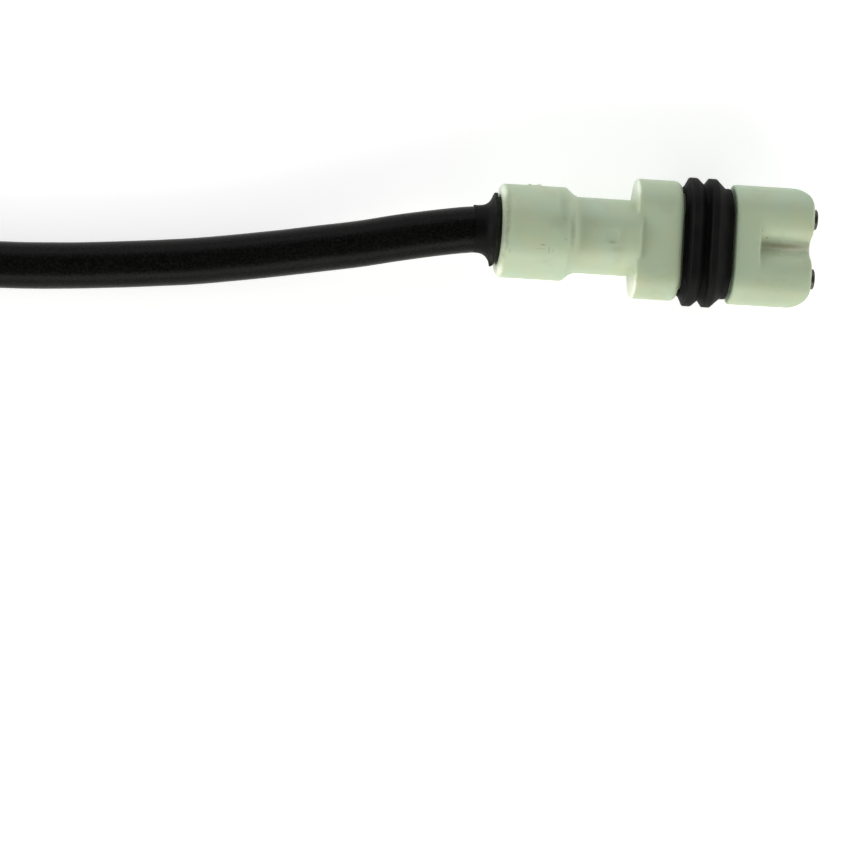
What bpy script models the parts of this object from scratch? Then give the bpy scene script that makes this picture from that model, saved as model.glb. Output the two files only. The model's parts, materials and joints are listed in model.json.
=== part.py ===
"""Brake pad wear sensor: a two-contact plug, its lead and the sensor head.

It lies flat. +X is the way the plug goes into its socket, Y runs across its two contacts, and +Z is up.
The origin is on the surface it lies on, under the middle of the plug. All sizes are in metres.
"""

import math

import bmesh
import bpy
from mathutils import Vector

# Clearances
seat_gap = 0.0003
wire_gap = 0.0001

# Lead
cable_radius = 0.0028
core_radius = 0.00095
core_bore_radius = 0.0006
conductor_radius = core_bore_radius - wire_gap
core_pitch = 0.0024

# Plug housing, from its rear face to its nose
boot_radius = 0.00565
boot_length = 0.008
boot_edge = 0.0006
taper_length = 0.0016
neck_half_width = 0.0046
neck_half_height = 0.00435
neck_length = 0.00685
neck_overlap = 0.0002
gate_mark_radius = 0.00095
gate_mark_depth = 0.00016
gate_mark_place = 0.00375
lobe_radius = 0.00365
contact_pitch = 0.0072
collar_length = 0.00555
collar_side_edge = 0.0008
collar_face_edge = 0.00035
collar_rear_edge = 0.00015
groove_length = 0.00645
groove_half_width = 0.0058
groove_half_height = 0.0022
nose_length = 0.00955
nose_rear_edge = 0.0003
nose_front_edge = 0.0006
nose_corner_length = 0.0024
nose_corner_width = 0.0023
notch_depth = 0.00025
notch_half_width = 0.0023
valley_start = 0.00305
valley_floor_height = 0.0021

# Hollow inside the plug housing
rear_bore_depth = 0.0084
chamber_overlap = 0.0004
chamber_side_wall = 0.0009
chamber_flat_wall = 0.00165
chamber_front = 0.00105
counterbore_rear = 0.00055
counterbore_front = 0.00455

# Contacts
contact_radius = 0.00125
contact_bore_radius = 0.00085
contact_flange_radius = 0.00165
contact_flange_length = 0.0008
contact_reach = 0.00085
contact_front_bore_depth = 0.009
contact_rear_bore_depth = 0.005
contact_rim_edge = 0.00015

# Seal with two fins
seal_wall = 0.0006
fin_side_depth = 0.0011
fin_flat_depth = 0.0015
fin_start = 0.0004
fin_pitch = 0.00236
fin_side_rise = 0.0006
fin_flat_rise = 0.00015
fin_tip = 0.00085
fin_slope = 0.00125

# Sealing bead where the lead goes into the boot
bead_overhang = 0.0004
bead_rim = 0.0008
bead_reach = 0.003
bead_lip = 0.00012
bead_wall = 0.0006
bead_depth = 0.0065

# Sensor head, from its rear face to its tip
head_distance = 0.197
head_side = -0.003
barrel_radius = 0.0049
barrel_length = 0.012
shoulder_half_width = 0.0064
shoulder_half_height = 0.0051
shoulder_length = 0.002
shoulder_corner = 0.0012
tongue_half_width = 0.004
tongue_half_height = 0.0026
tongue_corner = 0.001
tongue_length = 0.0105
tongue_tip_edge = 0.0012
pocket_depth = 0.01
leg_pitch = 0.0032
crimp_bore_radius = 0.0007
crimp_wall = 0.00025
crimp_length = 0.004
crimp_place = 0.0086
crimp_hole_depth = 0.0132
loop_radius = 0.00045
loop_recess = 0.0004
loop_slot_depth = 0.003
loop_leg_start = 0.0098
head_core_end = 0.0082

# Rubber sleeve at the sensor head
relief_length = 0.014
relief_rear_wall = 0.0004
relief_front_wall = 0.0013
relief_wall = 0.0005
relief_depth = 0.004
relief_groove_depth = 0.0004
relief_groove_pitch = 0.0032
relief_grooves = 3
relief_face_edge = 0.0004

# Spring clip on the sensor head's tongue
clip_thickness = 0.0004
clip_length = 0.0066
clip_bend = 0.0006
clip_flare = 0.001
clip_flare_length = 0.0022
clip_leg_overhang = 0.002

# Insertion depths of the lead
cable_in_plug = 0.0075
cable_in_head = 0.0035

# Shape of the concave runs: 1 is straight, more is hollower
taper_power = 1.7
flare_power = 3.0

# Fineness
quarter_steps = 8
edge_steps = 3
corner_steps = 6
taper_steps = 6
flare_steps = 6
valley_steps = 7
bend_steps = 10
turned_sides = 32
small_sides = 20
wire_sides = 12
path_steps = 24
sharp_angle = math.radians(35)

# Places that follow from the sizes
collar_x = boot_length + taper_length + neck_length
groove_x = collar_x + collar_length
nose_x = groove_x + groove_length
plug_length = nose_x + nose_length
nose_half_width = contact_pitch / 2 + lobe_radius
valley_x = nose_x + valley_start
rear_face_x = -(plug_length + contact_reach - bead_reach) / 2
sleeve_bore = cable_radius + seat_gap
sleeve_radius = sleeve_bore + bead_wall
bead_radius = sleeve_radius + bead_overhang
rear_bore_radius = sleeve_radius + seat_gap
chamber_half_width = neck_half_width - chamber_side_wall
chamber_half_height = neck_half_height - chamber_flat_wall
seal_inner_half_width = groove_half_width + seat_gap
seal_inner_half_height = groove_half_height + seat_gap
seal_half_width = seal_inner_half_width + seal_wall
seal_half_height = seal_inner_half_height + seal_wall
channel_radius = contact_radius + seat_gap
counterbore_radius = contact_flange_radius + seat_gap
contact_rear_x = collar_x + counterbore_front - seat_gap - contact_flange_length
contact_front_x = plug_length + contact_reach
tongue_x = barrel_length + shoulder_length
head_length = tongue_x + tongue_length
relief_inner_radius = cable_radius + seat_gap
relief_rear_radius = relief_inner_radius + relief_rear_wall
relief_front_radius = relief_inner_radius + relief_front_wall
pocket_radius = relief_inner_radius + relief_wall + seat_gap
crimp_radius = crimp_bore_radius + crimp_wall


for old_object in list(bpy.data.objects):
    bpy.data.objects.remove(old_object, do_unlink=True)


def finish(name, colour, roughness, metallic=0.0):
    """A material with one Principled shader."""
    material = bpy.data.materials.new(name)
    material.use_nodes = True
    shader = material.node_tree.nodes["Principled BSDF"]
    shader.inputs["Base Color"].default_value = (*colour, 1.0)
    shader.inputs["Roughness"].default_value = roughness
    shader.inputs["Metallic"].default_value = metallic
    return material


def empty(name, place, turn=0.0):
    """A named frame that pieces are placed in."""
    holder = bpy.data.objects.new(name, None)
    holder.location = place
    holder.rotation_euler = (0.0, 0.0, turn)
    bpy.context.collection.objects.link(holder)
    return holder


def placed(name, data, holder, material, place=(0.0, 0.0, 0.0)):
    """An object of this mesh or curve in its holder's frame."""
    piece = bpy.data.objects.new(name, data)
    piece.parent = holder
    piece.location = place
    data.materials.clear()
    data.materials.append(material)
    bpy.context.collection.objects.link(piece)
    return piece


def mesh_of(name, form):
    """The finished mesh: doubled points merged, faces turned outwards, round skins shaded smooth."""
    bmesh.ops.remove_doubles(form, verts=form.verts, dist=1e-7)
    bmesh.ops.recalc_face_normals(form, faces=form.faces)
    mesh = bpy.data.meshes.new(name)
    form.to_mesh(mesh)
    form.free()
    mesh.shade_smooth()
    mesh.set_sharp_from_angle(angle=sharp_angle)
    return mesh


def loft(name, sections, joined=False):
    """A skin over sections of equal point counts. Its ends are capped, or joined to each other."""
    form = bmesh.new()
    rings = [[form.verts.new(point) for point in section] for section in sections]
    pairs = list(zip(rings, rings[1:]))
    if joined:
        pairs.append((rings[-1], rings[0]))
    else:
        form.faces.new(rings[0])
        form.faces.new(rings[-1])
    for ring, following in pairs:
        for index, point in enumerate(ring):
            beside = (index + 1) % len(ring)
            form.faces.new((point, ring[beside], following[beside], following[index]))
    return mesh_of(name, form)


def turned(name, profile, sides):
    """A profile of (x, radius) points turned about the X axis."""
    form = bmesh.new()
    points = [form.verts.new((x, 0.0, radius)) for x, radius in profile]
    edges = [form.edges.new(pair) for pair in zip(points, points[1:])]
    bmesh.ops.spin(
        form,
        geom=points + edges,
        cent=(0.0, 0.0, 0.0),
        axis=(1.0, 0.0, 0.0),
        angle=math.tau,
        steps=sides,
        use_merge=True,
    )
    return mesh_of(name, form)


def section(x, half_width, half_height, corner=None):
    """A rectangle with round corners across the X axis. With no corner given its ends are half-round."""
    radius = half_height if corner is None else corner
    points = []
    for quarter, (side, up) in enumerate(((1, -1), (1, 1), (-1, 1), (-1, -1))):
        for step in range(quarter_steps + 1):
            angle = math.radians(90 * (quarter - 1 + step / quarter_steps))
            y = side * (half_width - radius) + radius * math.cos(angle)
            z = up * (half_height - radius) + radius * math.sin(angle)
            points.append(Vector((x, y, z)))
    return points


def rounded_edge(full_x, end_x, half_width, half_height, width_cut, height_cut):
    """Stations (x, half width, half height) over a rounded end, from the full section to the end."""
    stations = []
    for step in range(edge_steps + 1):
        angle = math.radians(90 * step / edge_steps)
        x = full_x + (end_x - full_x) * math.sin(angle)
        drop = 1 - math.cos(angle)
        stations.append((x, half_width - width_cut * drop, half_height - height_cut * drop))
    return stations


def smooth_path(route, spacing):
    """Points at this spacing or a little less on a smooth curve through the route."""
    ends = [2 * route[0] - route[1], *route, 2 * route[-1] - route[-2]]
    fine = [route[0]]
    for before, start, finish_point, after in zip(ends, ends[1:], ends[2:], ends[3:]):
        for step in range(1, path_steps + 1):
            t = step / path_steps
            fine.append(
                0.5
                * (
                    2 * start
                    + (finish_point - before) * t
                    + (2 * before - 5 * start + 4 * finish_point - after) * t**2
                    + (3 * start - before - 3 * finish_point + after) * t**3
                )
            )
    lengths = [0.0]
    for one, other in zip(fine, fine[1:]):
        lengths.append(lengths[-1] + (other - one).length)
    count = math.ceil(lengths[-1] / spacing)
    path = []
    for step in range(count + 1):
        wanted = lengths[-1] * step / count
        index = next(i for i in range(1, len(fine)) if lengths[i] >= wanted - 1e-12)
        share = (wanted - lengths[index - 1]) / (lengths[index] - lengths[index - 1])
        path.append(fine[index - 1].lerp(fine[index], share))
    return path


def swept(name, path, radius, bore=0.0):
    """A round wire, or a tube if it has a bore, along a path that lies level."""

    def ring(index, ring_radius):
        ahead = path[min(index + 1, len(path) - 1)] - path[max(index - 1, 0)]
        across = Vector((-ahead.y, ahead.x, 0.0)).normalized()
        turns = [math.tau * step / wire_sides for step in range(wire_sides)]
        return [
            path[index] + ring_radius * (math.cos(turn) * across + math.sin(turn) * Vector((0, 0, 1)))
            for turn in turns
        ]

    order = range(len(path))
    sections = [ring(index, radius) for index in order]
    if not bore:
        return loft(name, sections)
    sections += [ring(index, bore) for index in reversed(order)]
    return loft(name, sections, joined=True)


def prism(name, outline, across, reach):
    """A flat outline drawn out both ways along the axis it doesn't use."""
    form = bmesh.new()
    lower = [form.verts.new(point - across * reach) for point in outline]
    upper = [form.verts.new(point + across * reach) for point in outline]
    caps = [form.faces.new(lower), form.faces.new(upper)]
    for index in range(len(outline)):
        beside = (index + 1) % len(outline)
        form.faces.new((lower[index], lower[beside], upper[beside], upper[index]))
    bmesh.ops.triangulate(form, faces=caps)
    return mesh_of(name, form)


def combine(piece, tool, operation):
    """Adds a Boolean by a hidden tool object to a piece."""
    tool.hide_render = True
    tool.display_type = "WIRE"
    modifier = piece.modifiers.new(tool.name, "BOOLEAN")
    modifier.operation = operation
    modifier.object = tool
    modifier.solver = "EXACT"


housing_plastic = finish("pale_moulded_plastic", (0.40, 0.44, 0.33), 0.42)
seal_rubber = finish("black_seal_rubber", (0.012, 0.012, 0.013), 0.45)
bead_sealant = finish("black_sealant", (0.006, 0.007, 0.006), 0.15)
sheath_rubber = finish("black_sheath", (0.008, 0.008, 0.008), 0.35)
contact_metal = finish("tinned_brass", (0.55, 0.52, 0.46), 0.30, 1.0)
copper = finish("bare_copper", (0.72, 0.36, 0.22), 0.35, 1.0)
core_plastic = finish("core_insulation", (0.30, 0.16, 0.10), 0.45)
relief_rubber = finish("black_sleeve_rubber", (0.015, 0.015, 0.015), 0.55)
crimp_metal = finish("crimp_brass", (0.70, 0.50, 0.25), 0.35, 1.0)
spring_steel = finish("spring_steel", (0.50, 0.50, 0.49), 0.28, 1.0)

plug = empty("plug_frame", (rear_face_x, 0.0, boot_radius))
head = empty(
    "head_frame", (rear_face_x - head_distance, head_side, shoulder_half_height), math.pi
)


# Plug housing: boot, taper and neck are one loft, collar, groove and nose the other
def build_housing():
    rear = list(reversed(rounded_edge(boot_edge, 0.0, boot_radius, boot_radius, boot_edge, boot_edge)))
    rear.append((boot_length, boot_radius, boot_radius))
    for step in range(1, taper_steps + 1):
        share = step / taper_steps
        drop = 1 - (1 - share) ** taper_power
        rear.append(
            (
                boot_length + taper_length * share,
                boot_radius - (boot_radius - neck_half_width) * drop,
                boot_radius - (boot_radius - neck_half_height) * drop,
            )
        )
    rear.append((collar_x + neck_overlap, neck_half_width, neck_half_height))
    housing = placed(
        "connector_housing",
        loft("connector_housing", [section(*station) for station in rear]),
        plug,
        housing_plastic,
    )

    full = (nose_half_width, lobe_radius)
    front = list(
        reversed(
            rounded_edge(
                collar_x + collar_rear_edge, collar_x, *full, collar_rear_edge, collar_rear_edge
            )
        )
    )
    front += rounded_edge(
        groove_x - collar_side_edge, groove_x, *full, collar_side_edge, collar_face_edge
    )
    front.append((groove_x, groove_half_width, groove_half_height))
    front.append((nose_x, groove_half_width, groove_half_height))
    front += reversed(
        rounded_edge(nose_x + nose_rear_edge, nose_x, *full, nose_rear_edge, nose_rear_edge)
    )
    front += rounded_edge(
        plug_length - nose_front_edge,
        plug_length + seat_gap,
        *full,
        2 * nose_front_edge,
        2 * nose_front_edge,
    )
    body = placed(
        "collar_and_nose", loft("collar_and_nose", [section(*s) for s in front]), plug, housing_plastic
    )
    combine(housing, body, "UNION")

    outline = [(plug_length - nose_corner_length, nose_half_width)]
    for step in range(1, corner_steps + 1):
        angle = math.radians(90 * step / corner_steps)
        outline.append(
            (
                plug_length - nose_corner_length * (1 - math.sin(angle)),
                nose_half_width - nose_corner_width * (1 - math.cos(angle)),
            )
        )
    for step in range(corner_steps + 1):
        share = step / corner_steps
        outline.append(
            (
                plug_length - notch_depth * (1 - math.cos(math.pi * share)) / 2,
                notch_half_width * (1 - share),
            )
        )
    outline += [(x, -y) for x, y in reversed(outline[:-1])]
    clear = nose_length / 2
    outline = [
        (outline[0][0], nose_half_width + clear),
        *outline,
        (outline[0][0], -nose_half_width - clear),
        (plug_length + clear, -nose_half_width - clear),
        (plug_length + clear, nose_half_width + clear),
    ]
    trim = prism(
        "nose_end_cutter",
        [Vector((x, y, 0.0)) for x, y in outline],
        Vector((0, 0, 1)),
        2 * lobe_radius,
    )
    combine(housing, placed("nose_end_cutter", trim, plug, housing_plastic), "DIFFERENCE")

    lobe_y = contact_pitch / 2
    floor_angle = math.pi - math.asin(valley_floor_height / lobe_radius)
    valley_side = []
    for step in range(1, valley_steps + 1):
        angle = math.pi / 2 + (floor_angle - math.pi / 2) * step / valley_steps
        valley_side.append(
            (lobe_y + lobe_radius * math.cos(angle), lobe_radius * math.sin(angle))
        )
    valley = [(valley_side[0][0], 2 * lobe_radius), *valley_side]
    valley += [(-y, z) for y, z in reversed(valley)]
    for turn in range(2):
        sign = 1 - 2 * turn
        cutter = prism(
            f"valley_cutter_{turn + 1}",
            [Vector((valley_x + nose_length, y, sign * z)) for y, z in valley],
            Vector((1, 0, 0)),
            nose_length,
        )
        combine(
            housing, placed(f"valley_cutter_{turn + 1}", cutter, plug, housing_plastic), "DIFFERENCE"
        )

    bore = turned(
        "rear_bore_cutter",
        [
            (-boot_length, 0.0),
            (-boot_length, rear_bore_radius),
            (rear_bore_depth, rear_bore_radius),
            (rear_bore_depth, 0.0),
        ],
        turned_sides,
    )
    combine(housing, placed("rear_bore_cutter", bore, plug, housing_plastic), "DIFFERENCE")

    chamber = loft(
        "chamber_cutter",
        [
            section(x, chamber_half_width, chamber_half_height)
            for x in (rear_bore_depth - chamber_overlap, collar_x + chamber_front)
        ],
    )
    combine(housing, placed("chamber_cutter", chamber, plug, housing_plastic), "DIFFERENCE")

    for side, sign in (("left", 1), ("right", -1)):
        channel = turned(
            f"channel_cutter_{side}",
            [
                (collar_x + counterbore_rear, 0.0),
                (collar_x + counterbore_rear, counterbore_radius),
                (collar_x + counterbore_front, counterbore_radius),
                (collar_x + counterbore_front, channel_radius),
                (plug_length + lobe_radius, channel_radius),
                (plug_length + lobe_radius, 0.0),
            ],
            small_sides,
        )
        combine(
            housing,
            placed(f"channel_cutter_{side}", channel, plug, housing_plastic, (0, sign * lobe_y, 0)),
            "DIFFERENCE",
        )

    mark = turned(
        "gate_mark_cutter",
        [
            (-gate_mark_depth, 0.0),
            (-gate_mark_depth, gate_mark_radius),
            (lobe_radius, gate_mark_radius),
            (lobe_radius, 0.0),
        ],
        small_sides,
    )
    mark_cutter = placed(
        "gate_mark_cutter",
        mark,
        plug,
        housing_plastic,
        (boot_length + taper_length + gate_mark_place, 0.0, neck_half_height),
    )
    mark_cutter.rotation_euler = (0.0, -math.pi / 2, 0.0)
    combine(housing, mark_cutter, "DIFFERENCE")


# Seal ring: base, two fins, and the hollow for the groove's core.
# A fin's rear flank is steep on the flats and slants at the ring's ends. Its front flank slopes.
def build_seal():
    rear_x = groove_x + seat_gap
    front_x = groove_x + groove_length - seat_gap
    foot = 0.0
    shares = [(rear_x, 0.0, 0.0)]
    for fin in range(2):
        foot_x = groove_x + fin_start + fin * fin_pitch
        crest_x = foot_x + fin_side_rise
        climbed = 1 - (1 - foot) * fin_flat_rise / fin_side_rise
        shares.append((foot_x, foot, foot))
        shares.append((crest_x - fin_flat_rise, climbed, foot))
        shares.append((crest_x, 1.0, 1.0))
        shares.append((crest_x + fin_tip, 1.0, 1.0))
        foot = max(0.0, 1 - (fin_pitch - fin_side_rise - fin_tip) / fin_slope)
    shares.append((crest_x + fin_tip + fin_slope, 0.0, 0.0))
    shares.append((front_x, 0.0, 0.0))
    sections = [
        section(x, seal_half_width + fin_side_depth * side, seal_half_height + fin_flat_depth * flat)
        for x, side, flat in shares
    ]
    sections.append(section(front_x, seal_inner_half_width, seal_inner_half_height))
    sections.append(section(rear_x, seal_inner_half_width, seal_inner_half_height))
    ring = loft("interface_seal", sections, joined=True)
    placed("interface_seal", ring, plug, seal_rubber)


# Contacts: turned tubes with a flange, a front bore for the pin and a rear bore for the conductor
def build_contacts():
    rim_x = contact_front_x - contact_rim_edge
    flange_x = contact_rear_x + contact_flange_length
    profile = [
        (contact_rear_x + contact_rear_bore_depth, 0.0),
        (contact_rear_x + contact_rear_bore_depth, contact_bore_radius),
        (contact_rear_x, contact_bore_radius),
        (contact_rear_x, contact_flange_radius),
        (flange_x, contact_flange_radius),
        (flange_x, contact_radius),
        (rim_x, contact_radius),
        (contact_front_x, contact_radius - contact_rim_edge),
        (contact_front_x, contact_bore_radius + contact_rim_edge),
        (rim_x, contact_bore_radius),
        (contact_front_x - contact_front_bore_depth, contact_bore_radius),
        (contact_front_x - contact_front_bore_depth, 0.0),
    ]
    for side, sign in (("left", 1), ("right", -1)):
        tube = turned(f"contact_{side}", profile, small_sides)
        placed(f"contact_{side}", tube, plug, contact_metal, (0.0, sign * contact_pitch / 2, 0.0))


# Cores in the plug: each leaves the sheath's end, spreads to its contact and is bared for the crimp
def build_plug_cores():
    start_x = cable_in_plug + seat_gap
    end_x = contact_rear_x - seat_gap
    crimp_end = contact_rear_x + contact_rear_bore_depth - seat_gap
    spread = contact_pitch / 2 - core_pitch / 2
    counterbore_x = collar_x + counterbore_rear
    for side, sign in (("left", 1), ("right", -1)):
        shares = (
            (start_x, 0.0),
            (start_x + 0.2 * (counterbore_x - start_x), 0.02),
            (start_x + 0.6 * (counterbore_x - start_x), 0.22),
            (counterbore_x - seat_gap, 0.58),
            (counterbore_x + 0.5 * (end_x - counterbore_x), 0.92),
            (end_x, 1.0),
        )
        route = [Vector((x, sign * (core_pitch / 2 + spread * share), 0.0)) for x, share in shares]
        path = smooth_path(route, 2 * conductor_radius)
        sheath = swept(f"contact_core_{side}", path, core_radius, core_bore_radius)
        placed(f"contact_core_{side}", sheath, plug, core_plastic)
        wire = swept(
            f"contact_conductor_{side}",
            [*path, Vector((crimp_end, sign * contact_pitch / 2, 0.0))],
            conductor_radius,
        )
        placed(f"contact_conductor_{side}", wire, plug, copper)


# Sealing bead: a concave flare on the rear face and a sleeve between sheath and bore
def build_bead():
    flare_root = bead_radius - bead_lip
    profile = [(-bead_reach, sleeve_bore)]
    for step in range(flare_steps + 1):
        share = step / flare_steps
        profile.append(
            (
                -bead_reach + (bead_reach - bead_rim) * share,
                sleeve_bore + bead_lip + (flare_root - sleeve_bore - bead_lip) * share**flare_power,
            )
        )
    profile += [
        (-bead_rim + bead_lip, bead_radius),
        (-seat_gap - bead_lip, bead_radius),
        (-seat_gap, bead_radius - bead_lip),
        (-seat_gap, sleeve_radius),
        (bead_depth, sleeve_radius),
        (bead_depth, sleeve_bore),
        (-bead_reach, sleeve_bore),
    ]
    placed("cable_seal", turned("cable_seal", profile, turned_sides), plug, bead_sealant)


# Lead: its route is chosen by hand, in metres from the plug's rear face back towards the head.
# The last value of a point is how much of the plug's or head's height above the surface it keeps.
route_from_plug = (
    (-0.0035, 0.0, 1.0),
    (0.0, 0.0, 1.0),
    (0.0030, -0.0001, 0.99),
    (0.0070, -0.0007, 0.95),
    (0.0117, -0.0016, 0.84),
    (0.0164, -0.0026, 0.68),
    (0.0212, -0.00345, 0.50),
    (0.0260, -0.0043, 0.33),
    (0.0307, -0.00505, 0.19),
    (0.0355, -0.00575, 0.09),
    (0.0403, -0.0063, 0.03),
    (0.0450, -0.00675, 0.0),
    (0.0498, -0.00715, 0.0),
    (0.0546, -0.00745, 0.0),
    (0.0594, -0.00762, 0.0),
    (0.0720, -0.0078, 0.0),
    (0.0880, -0.0074, 0.0),
    (0.1040, -0.0065, 0.0),
    (0.1220, -0.0053, 0.0),
    (0.1400, -0.0042, 0.0),
)
route_to_head = (
    (0.0430, -0.0004, 0.0),
    (0.0360, -0.0001, 0.04),
    (0.0300, 0.0, 0.22),
    (0.0240, 0.0, 0.70),
    (0.0190, 0.0, 0.97),
    (0.0140, 0.0, 1.0),
    (0.0, 0.0, 1.0),
)


def build_cable():
    plug_lift = boot_radius - cable_radius
    head_lift = shoulder_half_height - cable_radius
    route = [Vector((cable_in_plug, 0.0, boot_radius))]
    route += [Vector((-back, y, cable_radius + plug_lift * lift)) for back, y, lift in route_from_plug]
    route += [
        Vector((before - head_distance, head_side + y, cable_radius + head_lift * lift))
        for before, y, lift in route_to_head
    ]
    route.append(Vector((-head_distance - cable_in_head, head_side, shoulder_half_height)))
    path = smooth_path(route, 4 * cable_radius)
    curve = bpy.data.curves.new("cable_jacket", "CURVE")
    curve.dimensions = "3D"
    curve.bevel_depth = cable_radius
    curve.bevel_resolution = 4
    curve.use_fill_caps = True
    line = curve.splines.new("POLY")
    line.points.add(len(path) - 1)
    for point, place in zip(line.points, path):
        point.co = (*place, 1.0)
    floor = empty("cable_frame", (rear_face_x, 0.0, 0.0))
    placed("cable_jacket", curve, floor, sheath_rubber)


# Sensor head: barrel, shoulder and tongue in one moulding, drawn from its rear face to its tip
def build_sensor_body():
    sections = [section(x, barrel_radius, barrel_radius) for x in (0.0, barrel_length)]
    sections += [
        section(x, shoulder_half_width, shoulder_half_height, shoulder_corner)
        for x in (barrel_length, tongue_x)
    ]
    sections += [
        section(x, tongue_half_width - cut, tongue_half_height - cut / 2, tongue_corner)
        for x, cut in (
            (tongue_x, 0.0),
            (head_length - tongue_tip_edge, 0.0),
            (head_length - tongue_tip_edge / 3, tongue_tip_edge / 3),
            (head_length, tongue_tip_edge),
        )
    ]
    body = placed("sensor_body", loft("sensor_body", sections), head, housing_plastic)

    pocket = turned(
        "pocket_cutter",
        [
            (-barrel_length, 0.0),
            (-barrel_length, pocket_radius),
            (pocket_depth, pocket_radius),
            (pocket_depth, 0.0),
        ],
        turned_sides,
    )
    combine(body, placed("pocket_cutter", pocket, head, housing_plastic), "DIFFERENCE")

    leg_radius = loop_radius + seat_gap
    crimp_hole_radius = crimp_radius + seat_gap
    for side, sign in (("left", 1), ("right", -1)):
        hole = turned(
            f"leg_cutter_{side}",
            [
                (pocket_depth - seat_gap, 0.0),
                (pocket_depth - seat_gap, crimp_hole_radius),
                (crimp_hole_depth, crimp_hole_radius),
                (crimp_hole_depth, leg_radius),
                (head_length + barrel_length, leg_radius),
                (head_length + barrel_length, 0.0),
            ],
            small_sides,
        )
        combine(
            body,
            placed(f"leg_cutter_{side}", hole, head, housing_plastic, (0.0, sign * leg_pitch / 2, 0.0)),
            "DIFFERENCE",
        )

    slot_half_width = leg_pitch / 2 + leg_radius
    slot = loft(
        "loop_slot_cutter",
        [
            section(x, slot_half_width, leg_radius + wire_gap)
            for x in (head_length - loop_slot_depth, head_length + loop_slot_depth)
        ],
    )
    combine(body, placed("loop_slot_cutter", slot, head, housing_plastic), "DIFFERENCE")


# Sensing loop, crimps and the cores' ends: the loop's legs meet the cores in two ferrules
def build_sensing_circuit():
    bend_x = head_length - loop_recess - loop_radius - leg_pitch / 2
    leg = leg_pitch / 2
    path = [Vector((x, leg, 0.0)) for x in (loop_leg_start, (loop_leg_start + bend_x) / 2)]
    for step in range(bend_steps + 1):
        angle = math.pi * (0.5 - step / bend_steps)
        path.append(Vector((bend_x + leg * math.cos(angle), leg * math.sin(angle), 0.0)))
    path += [Vector((point.x, -leg, 0.0)) for point in reversed(path[:2])]
    placed("sensing_loop", swept("sensing_loop", path, loop_radius), head, copper)

    crimp_profile = [
        (crimp_place, crimp_bore_radius),
        (crimp_place, crimp_radius),
        (crimp_place + crimp_length, crimp_radius),
        (crimp_place + crimp_length, crimp_bore_radius),
        (crimp_place, crimp_bore_radius),
    ]
    start_x = cable_in_head + seat_gap
    for side, sign in (("left", 1), ("right", -1)):
        crimp = turned(f"loop_crimp_{side}", crimp_profile, small_sides)
        placed(f"loop_crimp_{side}", crimp, head, crimp_metal, (0.0, sign * leg, 0.0))
        shares = ((0.0, 0.0), (0.35, 0.15), (0.7, 0.85), (1.0, 1.0))
        route = [
            Vector(
                (
                    start_x + (head_core_end - start_x) * along,
                    sign * (core_pitch / 2 + (leg - core_pitch / 2) * share),
                    0.0,
                )
            )
            for along, share in shares
        ]
        core_path = smooth_path(route, 2 * conductor_radius)
        sheath = swept(f"head_core_{side}", core_path, core_radius, core_bore_radius)
        placed(f"head_core_{side}", sheath, head, core_plastic)
        wire_end = loop_leg_start - seat_gap
        wire = swept(
            f"head_conductor_{side}",
            [*core_path, Vector((wire_end, sign * leg, 0.0))],
            conductor_radius,
        )
        placed(f"head_conductor_{side}", wire, head, copper)


# Strain relief: a tapered sleeve on the lead with grooves that let it bend
def build_strain_relief():
    slope = (relief_front_radius - relief_rear_radius) / (relief_length - seat_gap)
    profile = [
        (-relief_length, relief_inner_radius),
        (-relief_length, relief_rear_radius - relief_face_edge / 2),
        (-relief_length + relief_face_edge, relief_rear_radius + slope * relief_face_edge),
    ]
    for groove in range(relief_grooves):
        start = -relief_length + relief_groove_pitch * (groove + 0.7)
        for share, depth in ((0.0, 0.0), (0.12, 1.0), (0.38, 1.0), (0.5, 0.0)):
            x = start + relief_groove_pitch * share
            skin = relief_rear_radius + slope * (x + relief_length)
            limit = relief_inner_radius + relief_wall / 2
            profile.append((x, max(limit, skin - relief_groove_depth * depth)))
    profile += [
        (-seat_gap - relief_face_edge, relief_front_radius),
        (-seat_gap, relief_front_radius - relief_face_edge),
        (-seat_gap, relief_inner_radius + relief_wall),
        (relief_depth, relief_inner_radius + relief_wall),
        (relief_depth, relief_inner_radius),
        (-relief_length, relief_inner_radius),
    ]
    sleeve = turned("head_strain_relief", profile, turned_sides)
    placed("head_strain_relief", sleeve, head, relief_rubber)


# Spring clip: a strip bent round one edge of the tongue, with legs that flare towards the shoulder
def build_clip():
    def bent_strip(x, flare):
        inner_height = tongue_half_height + seat_gap + flare
        inner_width = tongue_half_width + seat_gap
        strip = []
        for grown in (clip_thickness, 0.0):
            width = inner_width + grown
            height = inner_height + grown
            bend = clip_bend + grown
            side = [(-clip_leg_overhang, height)]
            for step in range(edge_steps + 1):
                angle = math.radians(90 * step / edge_steps)
                side.append(
                    (
                        width - bend + bend * math.sin(angle),
                        height - bend + bend * math.cos(angle),
                    )
                )
            side += [(y, -z) for y, z in reversed(side)]
            strip += side if grown else reversed(side)
        return [Vector((x, y, z)) for y, z in strip]

    start_x = tongue_x + seat_gap
    sections = [
        bent_strip(start_x, clip_flare),
        bent_strip(start_x + clip_flare_length, 0.0),
        bent_strip(start_x + clip_length, 0.0),
    ]
    placed("retaining_clip", loft("retaining_clip", sections), head, spring_steel)


build_housing()
build_seal()
build_contacts()
build_plug_cores()
build_bead()
build_cable()
build_sensor_body()
build_sensing_circuit()
build_strain_relief()
build_clip()
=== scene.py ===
import json
import math

import bmesh
import bpy
from mathutils import Matrix, Vector, noise

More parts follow.
